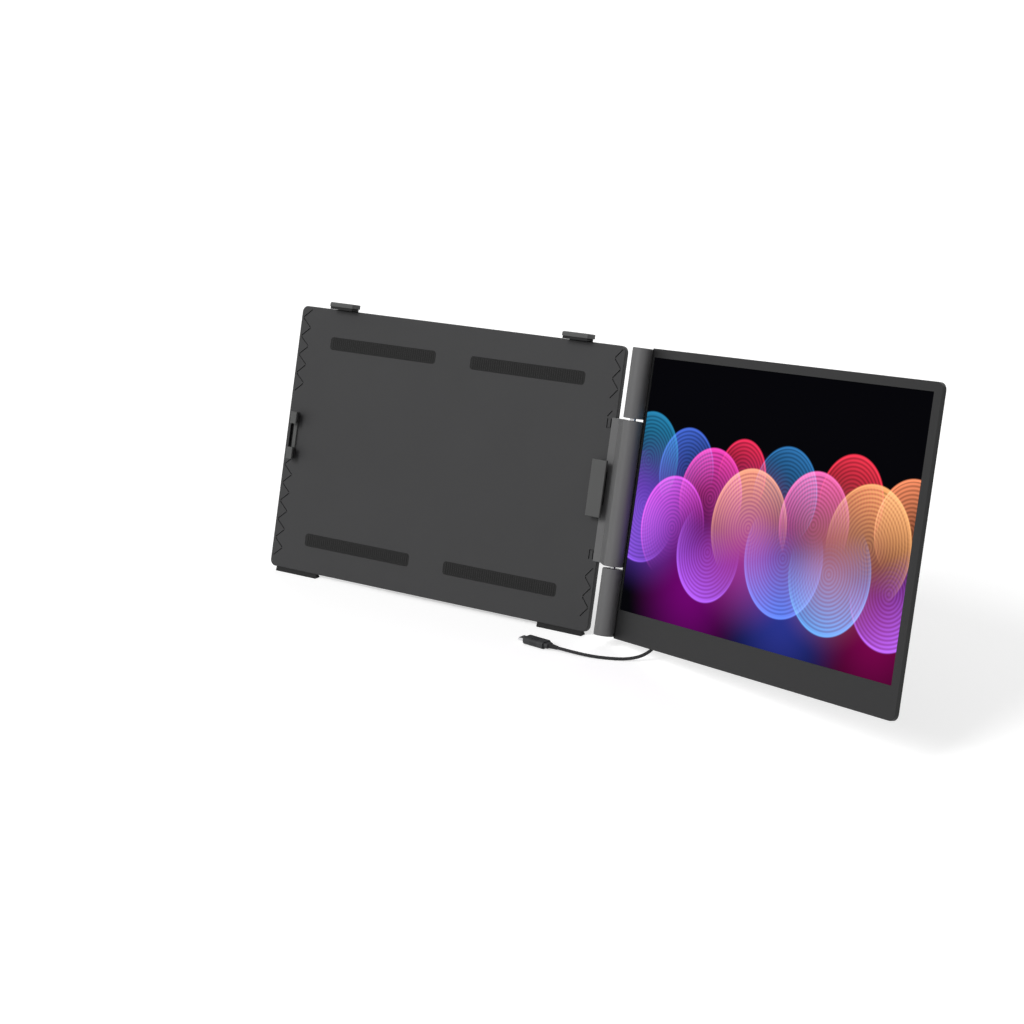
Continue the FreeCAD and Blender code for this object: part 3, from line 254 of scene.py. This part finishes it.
class Nodes:
    """Short way to add and join shader nodes."""

    def __init__(self, tree):
        self.tree = tree

    def add(self, kind, **values):
        node = self.tree.nodes.new(kind)
        for key, value in values.items():
            setattr(node, key, value)
        return node

    def link(self, output, target):
        self.tree.links.new(output, target)

    def maths(self, operation, first, second=None, clamp=False):
        node = self.add("ShaderNodeMath", operation=operation, use_clamp=clamp)
        for index, value in enumerate((first, second)):
            if value is None:
                continue
            if isinstance(value, (int, float)):
                node.inputs[index].default_value = value
            else:
                self.link(value, node.inputs[index])
        return node.outputs[0]

    def multiply_add(self, value, factor, addend, clamp=False):
        result = self.maths("MULTIPLY_ADD", value, factor, clamp)
        result.node.inputs[2].default_value = addend
        return result

    def noise(self, scale, detail=3.0, roughness=0.55, vector=None):
        node = self.add("ShaderNodeTexNoise")
        node.inputs["Scale"].default_value = scale
        node.inputs["Detail"].default_value = detail
        node.inputs["Roughness"].default_value = roughness
        if vector is None:
            vector = self.add("ShaderNodeTexCoord").outputs["Object"]
        self.link(vector, node.inputs["Vector"])
        return node.outputs["Fac"]

    def span(self, value, low, high):
        """Map 0 to 1 onto low to high."""
        node = self.add("ShaderNodeMapRange")
        node.inputs["To Min"].default_value = low
        node.inputs["To Max"].default_value = high
        self.link(value, node.inputs["Value"])
        return node.outputs["Result"]

    def mix_colours(self, factor, first, second, blend="MIX"):
        node = self.add("ShaderNodeMix", data_type="RGBA", blend_type=blend)
        for value, socket in ((factor, node.inputs[0]), (first, node.inputs[6]), (second, node.inputs[7])):
            if isinstance(value, bpy.types.NodeSocket):
                self.link(value, socket)
            elif isinstance(value, (int, float)):
                socket.default_value = value
            else:
                socket.default_value = (*value, 1.0)
        return node.outputs[2]


def new_material(name):
    material = bpy.data.materials.new(name)
    material.use_nodes = True
    shader = next(node for node in material.node_tree.nodes if node.type == "BSDF_PRINCIPLED")
    return material, Nodes(material.node_tree), shader


def toned(colour, factor):
    return tuple(min(1.0, part * factor) for part in colour)


def moulded(name, colour, gloss=(0.46, 0.6), grain=0.25, grain_size=0.00035, tone=0.1):
    """Moulded plastic: fine spark-eroded grain, uneven gloss and a faint uneven tone."""
    material, nodes, shader = new_material(name)
    cloud = nodes.noise(14.0, 2.0)
    speck = nodes.noise(1.0 / grain_size, 2.0, 0.7)
    base = nodes.mix_colours(cloud, toned(colour, 1.0 - tone), toned(colour, 1.0 + tone))
    fleck = nodes.mix_colours(nodes.span(speck, 0.0, 0.35), base, toned(colour, 0.7))
    nodes.link(fleck, shader.inputs["Base Color"])
    nodes.link(nodes.span(speck, gloss[0], gloss[1]), shader.inputs["Roughness"])
    shader.inputs["Specular IOR Level"].default_value = PLASTIC_SHINE
    bump = nodes.add("ShaderNodeBump")
    bump.inputs["Strength"].default_value = grain
    bump.inputs["Distance"].default_value = grain_size * 0.4
    nodes.link(speck, bump.inputs["Height"])
    nodes.link(bump.outputs["Normal"], shader.inputs["Normal"])
    return material


def rubbery(name, colour, roughness=0.78):
    """Rubber: dull, slightly dusty, with a soft sheen."""
    material, nodes, shader = new_material(name)
    dust = nodes.noise(60.0, 4.0, 0.65)
    pores = nodes.noise(2600.0, 2.0)
    base = nodes.mix_colours(nodes.span(dust, 0.0, 0.6), colour, toned(colour, 1.7))
    nodes.link(base, shader.inputs["Base Color"])
    nodes.link(nodes.span(dust, roughness - 0.08, roughness + 0.1), shader.inputs["Roughness"])
    shader.inputs["Specular IOR Level"].default_value = RUBBER_SHINE
    shader.inputs["Sheen Weight"].default_value = 0.1
    shader.inputs["Sheen Roughness"].default_value = 0.5
    bump = nodes.add("ShaderNodeBump")
    bump.inputs["Strength"].default_value = 0.3
    bump.inputs["Distance"].default_value = 0.0001
    nodes.link(pores, bump.inputs["Height"])
    nodes.link(bump.outputs["Normal"], shader.inputs["Normal"])
    return material


def metal(name, colour, stretch=(1.0, 1.0, 1.0), gloss=(0.24, 0.4), scratch=0.12, scale=900.0):
    """Metal with fine marks drawn out along one direction."""
    material, nodes, shader = new_material(name)
    place = nodes.add("ShaderNodeTexCoord").outputs["Object"]
    mapping = nodes.add("ShaderNodeMapping")
    mapping.inputs["Scale"].default_value = stretch
    nodes.link(place, mapping.inputs["Vector"])
    lines = nodes.noise(scale, 4.0, 0.6, mapping.outputs["Vector"])
    cloud = nodes.noise(25.0, 2.0)
    base = nodes.mix_colours(lines, toned(colour, 0.88), toned(colour, 1.1))
    nodes.link(nodes.mix_colours(nodes.span(cloud, 0.0, 0.3), base, toned(colour, 0.82)),
               shader.inputs["Base Color"])
    shader.inputs["Metallic"].default_value = 1.0
    nodes.link(nodes.span(lines, gloss[0], gloss[1]), shader.inputs["Roughness"])
    bump = nodes.add("ShaderNodeBump")
    bump.inputs["Strength"].default_value = scratch
    bump.inputs["Distance"].default_value = 0.00004
    nodes.link(lines, bump.inputs["Height"])
    nodes.link(bump.outputs["Normal"], shader.inputs["Normal"])
    return material


def board_finish(name, colour):
    """Solder resist with tracks that show as paler lines."""
    material, nodes, shader = new_material(name)
    tracks = nodes.add("ShaderNodeTexBrick")
    tracks.inputs["Scale"].default_value = 220.0
    tracks.inputs["Mortar Size"].default_value = 0.04
    tracks.inputs["Color1"].default_value = (*colour, 1.0)
    tracks.inputs["Color2"].default_value = (*toned(colour, 1.4), 1.0)
    tracks.inputs["Mortar"].default_value = (*toned(colour, 2.6), 1.0)
    nodes.link(nodes.add("ShaderNodeTexCoord").outputs["Object"], tracks.inputs["Vector"])
    nodes.link(tracks.outputs["Color"], shader.inputs["Base Color"])
    shader.inputs["Roughness"].default_value = 0.35
    return material


# Picture on the display

def distance_from(nodes, place, centre_x, centre_y):
    """Offset from a centre and its length."""
    offset = nodes.add("ShaderNodeVectorMath", operation="SUBTRACT")
    nodes.link(place, offset.inputs[0])
    offset.inputs[1].default_value = (centre_x, centre_y, 0.0)
    length = nodes.add("ShaderNodeVectorMath", operation="LENGTH")
    nodes.link(offset.outputs["Vector"], length.inputs[0])
    return offset.outputs["Vector"], length.outputs["Value"]


def falloff(nodes, value, zero_at, one_at):
    """0 at the first value, 1 at the second, smooth between."""
    step = nodes.add("ShaderNodeMapRange", interpolation_type="SMOOTHSTEP")
    nodes.link(value, step.inputs["Value"])
    step.inputs["From Min"].default_value = zero_at
    step.inputs["From Max"].default_value = one_at
    return step.outputs["Result"]


def disc_light(nodes, place, disc):
    """Colour of one disc: brightest at the rim on its lit side, fading inward over fine rings."""
    centre_x, centre_y, radius, colour, lit_from = disc
    offset, distance = distance_from(nodes, place, centre_x, centre_y)
    toward = nodes.add("ShaderNodeVectorMath", operation="DOT_PRODUCT")
    nodes.link(offset, toward.inputs[0])
    angle = math.radians(lit_from)
    toward.inputs[1].default_value = (math.cos(angle) / radius, math.sin(angle) / radius, 0.0)
    inside = falloff(nodes, distance, radius, radius * 0.98)
    side = nodes.multiply_add(toward.outputs["Value"], 0.62, 0.36, True)
    side = nodes.maths("POWER", side, 1.3, True)
    wave = nodes.maths("SINE", nodes.maths("MULTIPLY", distance, RINGS_PER_UNIT))
    rings = nodes.multiply_add(wave, 0.24, 0.76)
    from_rim = nodes.maths("ABSOLUTE", nodes.maths("SUBTRACT", distance, radius * 0.985))
    rim = nodes.maths("SUBTRACT", 1.0, nodes.maths("MULTIPLY", from_rim, 160.0), True)
    glow = nodes.maths("MULTIPLY", nodes.maths("MULTIPLY", side, rings), inside)
    glow = nodes.maths("ADD", glow, nodes.maths("MULTIPLY", rim, side))
    return nodes.mix_colours(glow, (0.0, 0.0, 0.0), colour)


def picture_finish():
    """Lit display under a dull front, its picture drawn on the piece's own UV map."""
    material, nodes, shader = new_material("lit_display")
    uv = nodes.add("ShaderNodeUVMap", uv_map="picture")
    mapping = nodes.add("ShaderNodeMapping")
    mapping.inputs["Scale"].default_value = (PICTURE_ASPECT, 1.0, 1.0)
    nodes.link(uv.outputs["UV"], mapping.inputs["Vector"])
    place = mapping.outputs["Vector"]
    picture = (0.0005, 0.0005, 0.001)
    for centre_x, centre_y, radius, colour in PICTURE_GLOWS:
        distance = distance_from(nodes, place, centre_x, centre_y)[1]
        glow = nodes.mix_colours(falloff(nodes, distance, radius, 0.0), (0.0, 0.0, 0.0), colour)
        picture = nodes.mix_colours(1.0, picture, glow, "SCREEN")
    for disc in PICTURE_DISCS:
        picture = nodes.mix_colours(1.0, picture, disc_light(nodes, place, disc), "SCREEN")
    nodes.link(picture, shader.inputs["Emission Color"])
    shader.inputs["Emission Strength"].default_value = PICTURE_GAIN
    shader.inputs["Base Color"].default_value = (0.0015, 0.0015, 0.002, 1.0)
    shader.inputs["Roughness"].default_value = 0.4
    shader.inputs["Specular IOR Level"].default_value = 0.0
    return material


# Finishes by material slot

def make_finishes():
    """Every finish of the object, by the record's slot names."""
    c = colours()
    return {
        "shell_plastic": moulded("casing_plastic", c.casing, (0.48, 0.62)),
        "screen_shell_plastic": moulded("screen_casing_plastic", c.screen_casing, (0.45, 0.58)),
        "bezel_plastic": moulded("bezel_plastic", c.bezel, (0.42, 0.52), 0.12),
        "hinge_plastic": moulded("hinge_plastic", c.hinge, (0.38, 0.48), 0.1, tone=0.05),
        "clip_plastic": moulded("clip_plastic", c.clip, (0.42, 0.54), 0.15),
        "guide_plastic": moulded("guide_plastic", c.inner, (0.5, 0.6)),
        "speaker_plastic": moulded("speaker_plastic", toned(c.inner, 0.6), (0.5, 0.65)),
        "button_plastic": moulded("button_plastic", toned(c.bezel, 1.2), (0.4, 0.5)),
        "port_black": moulded("port_black", toned(c.inner, 0.4), (0.4, 0.5)),
        "plug_plastic": moulded("plug_plastic", c.grip, (0.5, 0.62), 0.2),
        "cord_rubber": rubbery("cord_sheath", c.cord, 0.6),
        "rubber_black": rubbery("black_rubber", c.rubber),
        "steel_plate": metal("rolled_steel", c.steel, (1.0, 30.0, 1.0)),
        "screw_steel": metal("black_zinc", c.screw, (1.0, 1.0, 1.0), (0.3, 0.45)),
        "shaft_steel": metal("ground_steel", c.steel, (1.0, 1.0, 40.0), (0.18, 0.28)),
        "spring_steel": metal("spring_wire", c.steel, (1.0, 1.0, 8.0), (0.22, 0.35)),
        "stand_metal": metal("anodised_stand", c.stand, (1.0, 1.0, 1.0), (0.42, 0.55), 0.25, 3000.0),
        "backlight_sheet": metal("pressed_sheet", c.steel, (1.0, 20.0, 1.0)),
        "bush_brass": metal("turned_brass", c.brass, (1.0, 1.0, 20.0)),
        "port_metal": metal("port_nickel", c.nickel, (1.0, 1.0, 10.0), (0.2, 0.3)),
        "plug_metal": metal("plug_nickel", c.nickel, (10.0, 10.0, 1.0), (0.16, 0.26)),
        "board_green": board_finish("solder_resist", c.board),
    }


FINISHES = {}


def finish(slot):
    """Material of a record slot; all are made on first use."""
    if not FINISHES:
        FINISHES.update(make_finishes())
    return FINISHES[slot]


def finish_nodes(*names):
    """Give carried-over CAD pieces the finish of their slot."""
    for name in names:
        piece = frame["nodes"][name]
        piece.data.materials.clear()
        piece.data.materials.append(finish(SLOT_OF[name]))


# Mesh helpers

def mesh_piece(name, bm, matrix, *materials):
    """Turn a bmesh into a piece whose place is in its mesh."""
    bm.transform(matrix)
    bmesh.ops.recalc_face_normals(bm, faces=bm.faces)
    for face in bm.faces:
        face.smooth = True
    mesh = bpy.data.meshes.new(name)
    bm.to_mesh(mesh)
    bm.free()
    for material in materials:
        mesh.materials.append(material)
    piece = bpy.data.objects.new(name, mesh)
    bpy.context.scene.collection.objects.link(piece)
    mesh.set_sharp_from_angle(angle=math.radians(35.0))
    return piece


def dress(piece, body, slot, *replaced):
    """Tie a new piece to its body and hide the CAD pieces it stands for."""
    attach(piece, body)
    if replaced:
        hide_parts(*replaced)
    return piece


def add_block(bm, low, high, bevel=0.0, segments=3):
    """Box between two corners with rounded edges."""
    low = Vector(low)
    high = Vector(high)
    verts = bmesh.ops.create_cube(bm, size=1.0)["verts"]
    bmesh.ops.scale(bm, vec=high - low, verts=verts)
    bmesh.ops.translate(bm, vec=(high + low) / 2, verts=verts)
    if bevel > 0.0:
        edges = list({edge for vert in verts for edge in vert.link_edges})
        bmesh.ops.bevel(bm, geom=edges, offset=bevel, segments=segments, profile=0.5, affect="EDGES",
                        material=-1)


def rounded_face(bm, width, depth, corner, segments=6):
    """Rounded rectangle round the origin, facing z."""
    verts = bmesh.ops.create_grid(bm, x_segments=1, y_segments=1, size=0.5)["verts"]
    bmesh.ops.scale(bm, vec=(width, depth, 1.0), verts=verts)
    made = bmesh.ops.bevel(bm, geom=verts, offset=corner, segments=segments, profile=0.5,
                           affect="VERTICES", material=-1)
    return next(iter(made["verts"][0].link_faces))


def raise_face(bm, face, sections):
    """Extrude a face through sections of (height, x scale, y scale), each scaled from the one before."""
    for rise, scale_x, scale_y in sections:
        made = bmesh.ops.extrude_face_region(bm, geom=[face])["geom"]
        face = next(item for item in made if isinstance(item, bmesh.types.BMFace))
        bmesh.ops.translate(bm, vec=(0.0, 0.0, rise), verts=face.verts)
        bmesh.ops.scale(bm, vec=(scale_x, scale_y, 1.0), verts=face.verts)
    return face


# Pieces

def build_lit_display():
    """Display with its glass; the picture lies on the front face's own UV map."""
    s = sizes()
    bm = bmesh.new()
    right = DISPLAY_LEFT + s.display_width
    top = DISPLAY_LOW + s.display_height
    add_block(bm, (DISPLAY_LEFT - PANEL_LIP, PANEL_FRONT, DISPLAY_LOW - PANEL_LIP),
              (right + PANEL_LIP, PANEL_BACK, top + PANEL_LIP))
    layer = bm.loops.layers.uv.new("picture")
    for face in bm.faces:
        face.material_index = 0 if face.normal.y < -0.5 else 1
        for loop in face.loops:
            spot = loop.vert.co
            loop[layer].uv = ((spot.x - DISPLAY_LEFT) / s.display_width,
                              (spot.z - DISPLAY_LOW) / s.display_height)
    piece = mesh_piece("lit_display", bm, screen_space(), picture_finish(), finish("port_black"))
    dress(piece, "screen", "display_glass", "display_panel")


def build_lid_pads():
    """Four rubber strips with upright ribs on the frame's face."""
    pitch = sizes().pad_rib_pitch
    bm = bmesh.new()
    for left, right, low, high in PAD_ZONES:
        left += PAD_MARGIN
        right -= PAD_MARGIN
        low += PAD_MARGIN
        high -= PAD_MARGIN
        add_block(bm, (left, PAD_FRONT + PAD_BASE_DROP, low), (right, PAD_BACK, high), PAD_EDGE, 1)
        count = int((right - left - pitch) / pitch)
        first = (left + right - pitch * (count - 1)) / 2
        for index in range(count):
            middle = first + pitch * index
            add_block(bm, (middle - pitch * 0.3, PAD_FRONT, low + PAD_RIB_INSET),
                      (middle + pitch * 0.3, PAD_FRONT + PAD_RIB_DEPTH, high - PAD_RIB_INSET), PAD_EDGE, 1)
    piece = mesh_piece("ribbed_lid_pads", bm, frame_space(), finish("rubber_black"))
    dress(piece, "frame", "rubber_black", "lid_grip_pads")


def build_plug(which, body, place):
    """Moulded grip with finger grooves and its ringed sleeve."""
    s = sizes()
    barrel = s.grip_length - PLUG_NECK
    inner_width = PLUG_WIDTH - 2 * PLUG_EDGE
    inner_thick = PLUG_THICK - 2 * PLUG_EDGE
    bm = bmesh.new()
    face = rounded_face(bm, inner_width, inner_thick, PLUG_CORNER - PLUG_EDGE)
    sections = [(PLUG_EDGE, PLUG_WIDTH / inner_width, PLUG_THICK / inner_thick), (barrel * 0.36, 1.0, 1.0)]
    for _ in range(GRIP_GROOVES):
        sections += [(0.0002, 0.955, 0.92), (0.0005, 1.0, 1.0), (0.0002, 1 / 0.955, 1 / 0.92),
                     (0.0006, 1.0, 1.0)]
    used = sum(section[0] for section in sections)
    sections += [(barrel - used - 0.0007, 1.0, 1.0), (0.0005, 0.975, 0.95), (0.0002, 0.93, 0.88),
                 (0.0001, 0.8, 0.87), (PLUG_NECK - 0.0006, 0.96, 0.96), (0.0005, 0.93, 0.9)]
    raise_face(bm, face, sections)
    grip = mesh_piece(which + "_moulded_grip", bm, place, finish("plug_plastic"))
    dress(grip, body, "plug_plastic", which + "_grip")

    bm = bmesh.new()
    verts = bmesh.ops.create_circle(bm, cap_ends=True, radius=SLEEVE_RADIUS, segments=32)["verts"]
    face = next(iter(verts[0].link_faces))
    end_scale = ((s.cord_diameter / 2 + SLEEVE_WALL) / SLEEVE_RADIUS) ** (1.0 / s.sleeve_ribs)
    step = s.sleeve_length / (s.sleeve_ribs + 0.5)
    ribs = []
    for _ in range(s.sleeve_ribs):
        ribs += [(step * 0.5, 1.0, 1.0), (step * 0.08, 0.86, 0.86), (step * 0.34, 1.0, 1.0),
                 (step * 0.08, end_scale / 0.86, end_scale / 0.86)]
    ribs.append((step * 0.5, 1.0, 1.0))
    raise_face(bm, face, ribs)
    sleeve = mesh_piece(which + "_ringed_sleeve", bm, place @ Matrix.Translation((0, 0, s.grip_length)),
                        finish("cord_rubber"))
    dress(sleeve, body, "cord_rubber", which + "_sleeve")
    finish_nodes(which + "_nose")
    return [frame["nodes"][which + "_nose"], grip, sleeve]


def build_link_lead():
    """Lead between the two plugs, laid along a fixed route."""
    s = sizes()
    hanging = build_plug("screen_plug", "screen", screen_plug_space())
    lying = build_plug("free_plug", "frame", free_plug_space(s.nose_length))
    curve = bpy.data.curves.new("lead_line", "CURVE")
    curve.dimensions = "3D"
    spline = curve.splines.new("NURBS")
    spline.points.add(len(CORD_ROUTE) - 1)
    for point, spot in zip(spline.points, CORD_ROUTE):
        point.co = (*spot, 1.0)
    spline.order_u = 3
    spline.use_endpoint_u = True
    spline.resolution_u = 16
    line = bpy.data.objects.new("lead_line", curve)
    path = [vert.co.copy() for vert in bpy.data.meshes.new_from_object(line).vertices]
    curve.bevel_depth = s.cord_diameter / 2
    curve.bevel_resolution = 6
    curve.use_fill_caps = True
    mesh = bpy.data.meshes.new_from_object(line)
    mesh.name = "link_lead"
    bpy.data.objects.remove(line)
    bpy.data.curves.remove(curve)
    for polygon in mesh.polygons:
        polygon.use_smooth = True
    mesh.materials.clear()
    mesh.materials.append(finish("cord_rubber"))
    lead = bpy.data.objects.new("link_lead", mesh)
    bpy.context.scene.collection.objects.link(lead)
    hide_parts("link_cord")
    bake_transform(lead)


# Studio

def add_lamp(name, azimuth, elevation, spread, strength):
    """Wide soft lamp far away, shining from the given direction in degrees."""
    lamp = bpy.data.lights.new(name, "SUN")
    lamp.angle = math.radians(spread)
    lamp.energy = strength
    holder = bpy.data.objects.new(name, lamp)
    turn = math.radians(azimuth)
    rise = math.radians(elevation)
    way = Vector((math.cos(turn) * math.cos(rise), math.sin(turn) * math.cos(rise), math.sin(rise)))
    holder.rotation_euler = (-way).to_track_quat("-Z", "Y").to_euler()
    bpy.context.scene.collection.objects.link(holder)


def floor_finish():
    """Pale floor that reads white to the camera and still takes the shadow."""
    material, nodes, shader = new_material("studio_floor")
    shader.inputs["Base Color"].default_value = (*colours().floor, 1.0)
    shader.inputs["Roughness"].default_value = 0.9
    shader.inputs["Specular IOR Level"].default_value = 0.0
    seen = nodes.add("ShaderNodeLightPath")
    shader.inputs["Emission Color"].default_value = (1.0, 1.0, 1.0, 1.0)
    nodes.link(nodes.maths("MULTIPLY", nodes.maths("MAXIMUM", seen.outputs["Is Camera Ray"],
                                                   seen.outputs["Is Glossy Ray"]), FLOOR_LIFT),
               shader.inputs["Emission Strength"])
    return material


def build_studio():
    """Floor, white surroundings, soft lamps and the photograph's camera."""
    scene = bpy.context.scene
    bm = bmesh.new()
    bmesh.ops.create_grid(bm, x_segments=1, y_segments=1, size=sizes().floor_size / 2)
    floor = mesh_piece("studio_floor", bm, Matrix.Identity(4), floor_finish())
    world = bpy.data.worlds.new("studio")
    scene.world = world
    world.use_nodes = True
    nodes = Nodes(world.node_tree)
    background = next(node for node in world.node_tree.nodes if node.type == "BACKGROUND")
    background.inputs["Color"].default_value = (1.0, 1.0, 1.0, 1.0)
    seen = nodes.add("ShaderNodeLightPath")
    direct = nodes.maths("MAXIMUM", seen.outputs["Is Camera Ray"], seen.outputs["Is Transmission Ray"])
    direct = nodes.maths("MAXIMUM", direct, seen.outputs["Is Glossy Ray"])
    nodes.link(nodes.span(direct, AMBIENT, 1.0), background.inputs["Strength"])
    add_lamp("key", *KEY_LAMP)
    add_lamp("back", *BACK_LAMP)
    scene.view_settings.view_transform = "Standard"
    camera = bpy.data.cameras.new("photo_camera")
    camera.lens = CAMERA_LENS
    camera.sensor_width = SENSOR
    camera.clip_start = 0.05
    camera.clip_end = 60.0
    holder = bpy.data.objects.new("photo_camera", camera)
    holder.matrix_world = axes_matrix(Vector(CAMERA_RIGHT), Vector(CAMERA_UP), CAMERA_BACK, CAMERA_AT)
    scene.collection.objects.link(holder)
    scene.camera = holder


# Operators

class EXTENDER_OT_carrier_frame(bpy.types.Operator):
    """Finish the carrier frame's casing, stiffener, feet and screws"""
    bl_idname = "extender.carrier_frame"
    bl_label = "Carrier frame"

    def execute(self, context):
        finish_nodes("frame_tray", "frame_rear_cover", "stiffener_plate", "frame_screws", "frame_feet",
                     "clip_guides", "spring_posts")
        build_lid_pads()
        return {"FINISHED"}


class EXTENDER_OT_lid_clips(bpy.types.Operator):
    """Finish the four spring clips with their pads and springs"""
    bl_idname = "extender.lid_clips"
    bl_label = "Lid clips"

    def execute(self, context):
        for side in ("left", "right"):
            finish_nodes("top_clip_" + side, "top_clip_pad_" + side, "top_clip_spring_" + side,
                         "side_clip_" + side, "side_clip_pads_" + side, "side_clip_spring_" + side)
        return {"FINISHED"}


class EXTENDER_OT_hinge(bpy.types.Operator):
    """Finish the upright hinge with its shafts and bushes"""
    bl_idname = "extender.hinge"
    bl_label = "Hinge"

    def execute(self, context):
        finish_nodes("hinge_arm", "hinge_shafts", "hinge_cover_upper", "hinge_cover_lower",
                     "friction_bushes", "hinge_end_caps", "hinge_brackets")
        return {"FINISHED"}


class EXTENDER_OT_kickstand(bpy.types.Operator):
    """Finish the kickstand, its pins and its rubber shoes"""
    bl_idname = "extender.kickstand"
    bl_label = "Kickstand"

    def execute(self, context):
        finish_nodes("kickstand_plate", "kickstand_pins", "kickstand_shoes")
        return {"FINISHED"}


class EXTENDER_OT_screen(bpy.types.Operator):
    """Finish the swinging screen: casing, bezel, bay, ports and keys"""
    bl_idname = "extender.screen"
    bl_label = "Screen casing"

    def execute(self, context):
        finish_nodes("screen_bezel", "screen_rear_shell", "electronics_cover", "screen_screws",
                     "driver_board", "speakers", "backlight_plate", "usb_c_ports", "mini_hdmi_port",
                     "port_tongues", "power_button", "menu_rocker")
        return {"FINISHED"}


class EXTENDER_OT_display(bpy.types.Operator):
    """Build the lit display with its generic picture"""
    bl_idname = "extender.display"
    bl_label = "Lit display"

    def execute(self, context):
        build_lit_display()
        return {"FINISHED"}


class EXTENDER_OT_link_lead(bpy.types.Operator):
    """Build the lead with its two plugs"""
    bl_idname = "extender.link_lead"
    bl_label = "Link lead"

    def execute(self, context):
        build_link_lead()
        return {"FINISHED"}


class EXTENDER_OT_studio(bpy.types.Operator):
    """Set the floor, lamps, surroundings and camera"""
    bl_idname = "extender.studio"
    bl_label = "Studio"

    def execute(self, context):
        build_studio()
        return {"FINISHED"}


class EXTENDER_PT_panel(bpy.types.Panel):
    """Sidebar panel with every step and value"""
    bl_idname = "EXTENDER_PT_panel"
    bl_label = "Screen extender"
    bl_space_type = "VIEW_3D"
    bl_region_type = "UI"
    bl_category = "Extender"

    def draw(self, context):
        column = self.layout.column(align=True)
        for operator in OPERATORS:
            column.operator(operator.bl_idname)
        for group in (context.scene.extender_sizes, context.scene.extender_colours):
            for name in group.__annotations__:
                column.prop(group, name)


OPERATORS = (EXTENDER_OT_studio, EXTENDER_OT_link_lead, EXTENDER_OT_carrier_frame, EXTENDER_OT_lid_clips,
             EXTENDER_OT_hinge, EXTENDER_OT_kickstand, EXTENDER_OT_screen, EXTENDER_OT_display)
CLASSES = (ExtenderSizes, ExtenderColours, *OPERATORS, EXTENDER_PT_panel)


def register():
    for item in CLASSES:
        bpy.utils.register_class(item)
    bpy.types.Scene.extender_sizes = bpy.props.PointerProperty(type=ExtenderSizes)
    bpy.types.Scene.extender_colours = bpy.props.PointerProperty(type=ExtenderColours)


def unregister():
    del bpy.types.Scene.extender_colours
    del bpy.types.Scene.extender_sizes
    for item in reversed(CLASSES):
        bpy.utils.unregister_class(item)


def main():
    register()
    bpy.ops.extender.studio()
    bpy.ops.extender.link_lead()
    bpy.ops.extender.carrier_frame()
    bpy.ops.extender.lid_clips()
    bpy.ops.extender.hinge()
    bpy.ops.extender.kickstand()
    bpy.ops.extender.screen()
    bpy.ops.extender.display()


if __name__ == "__main__":
    main()
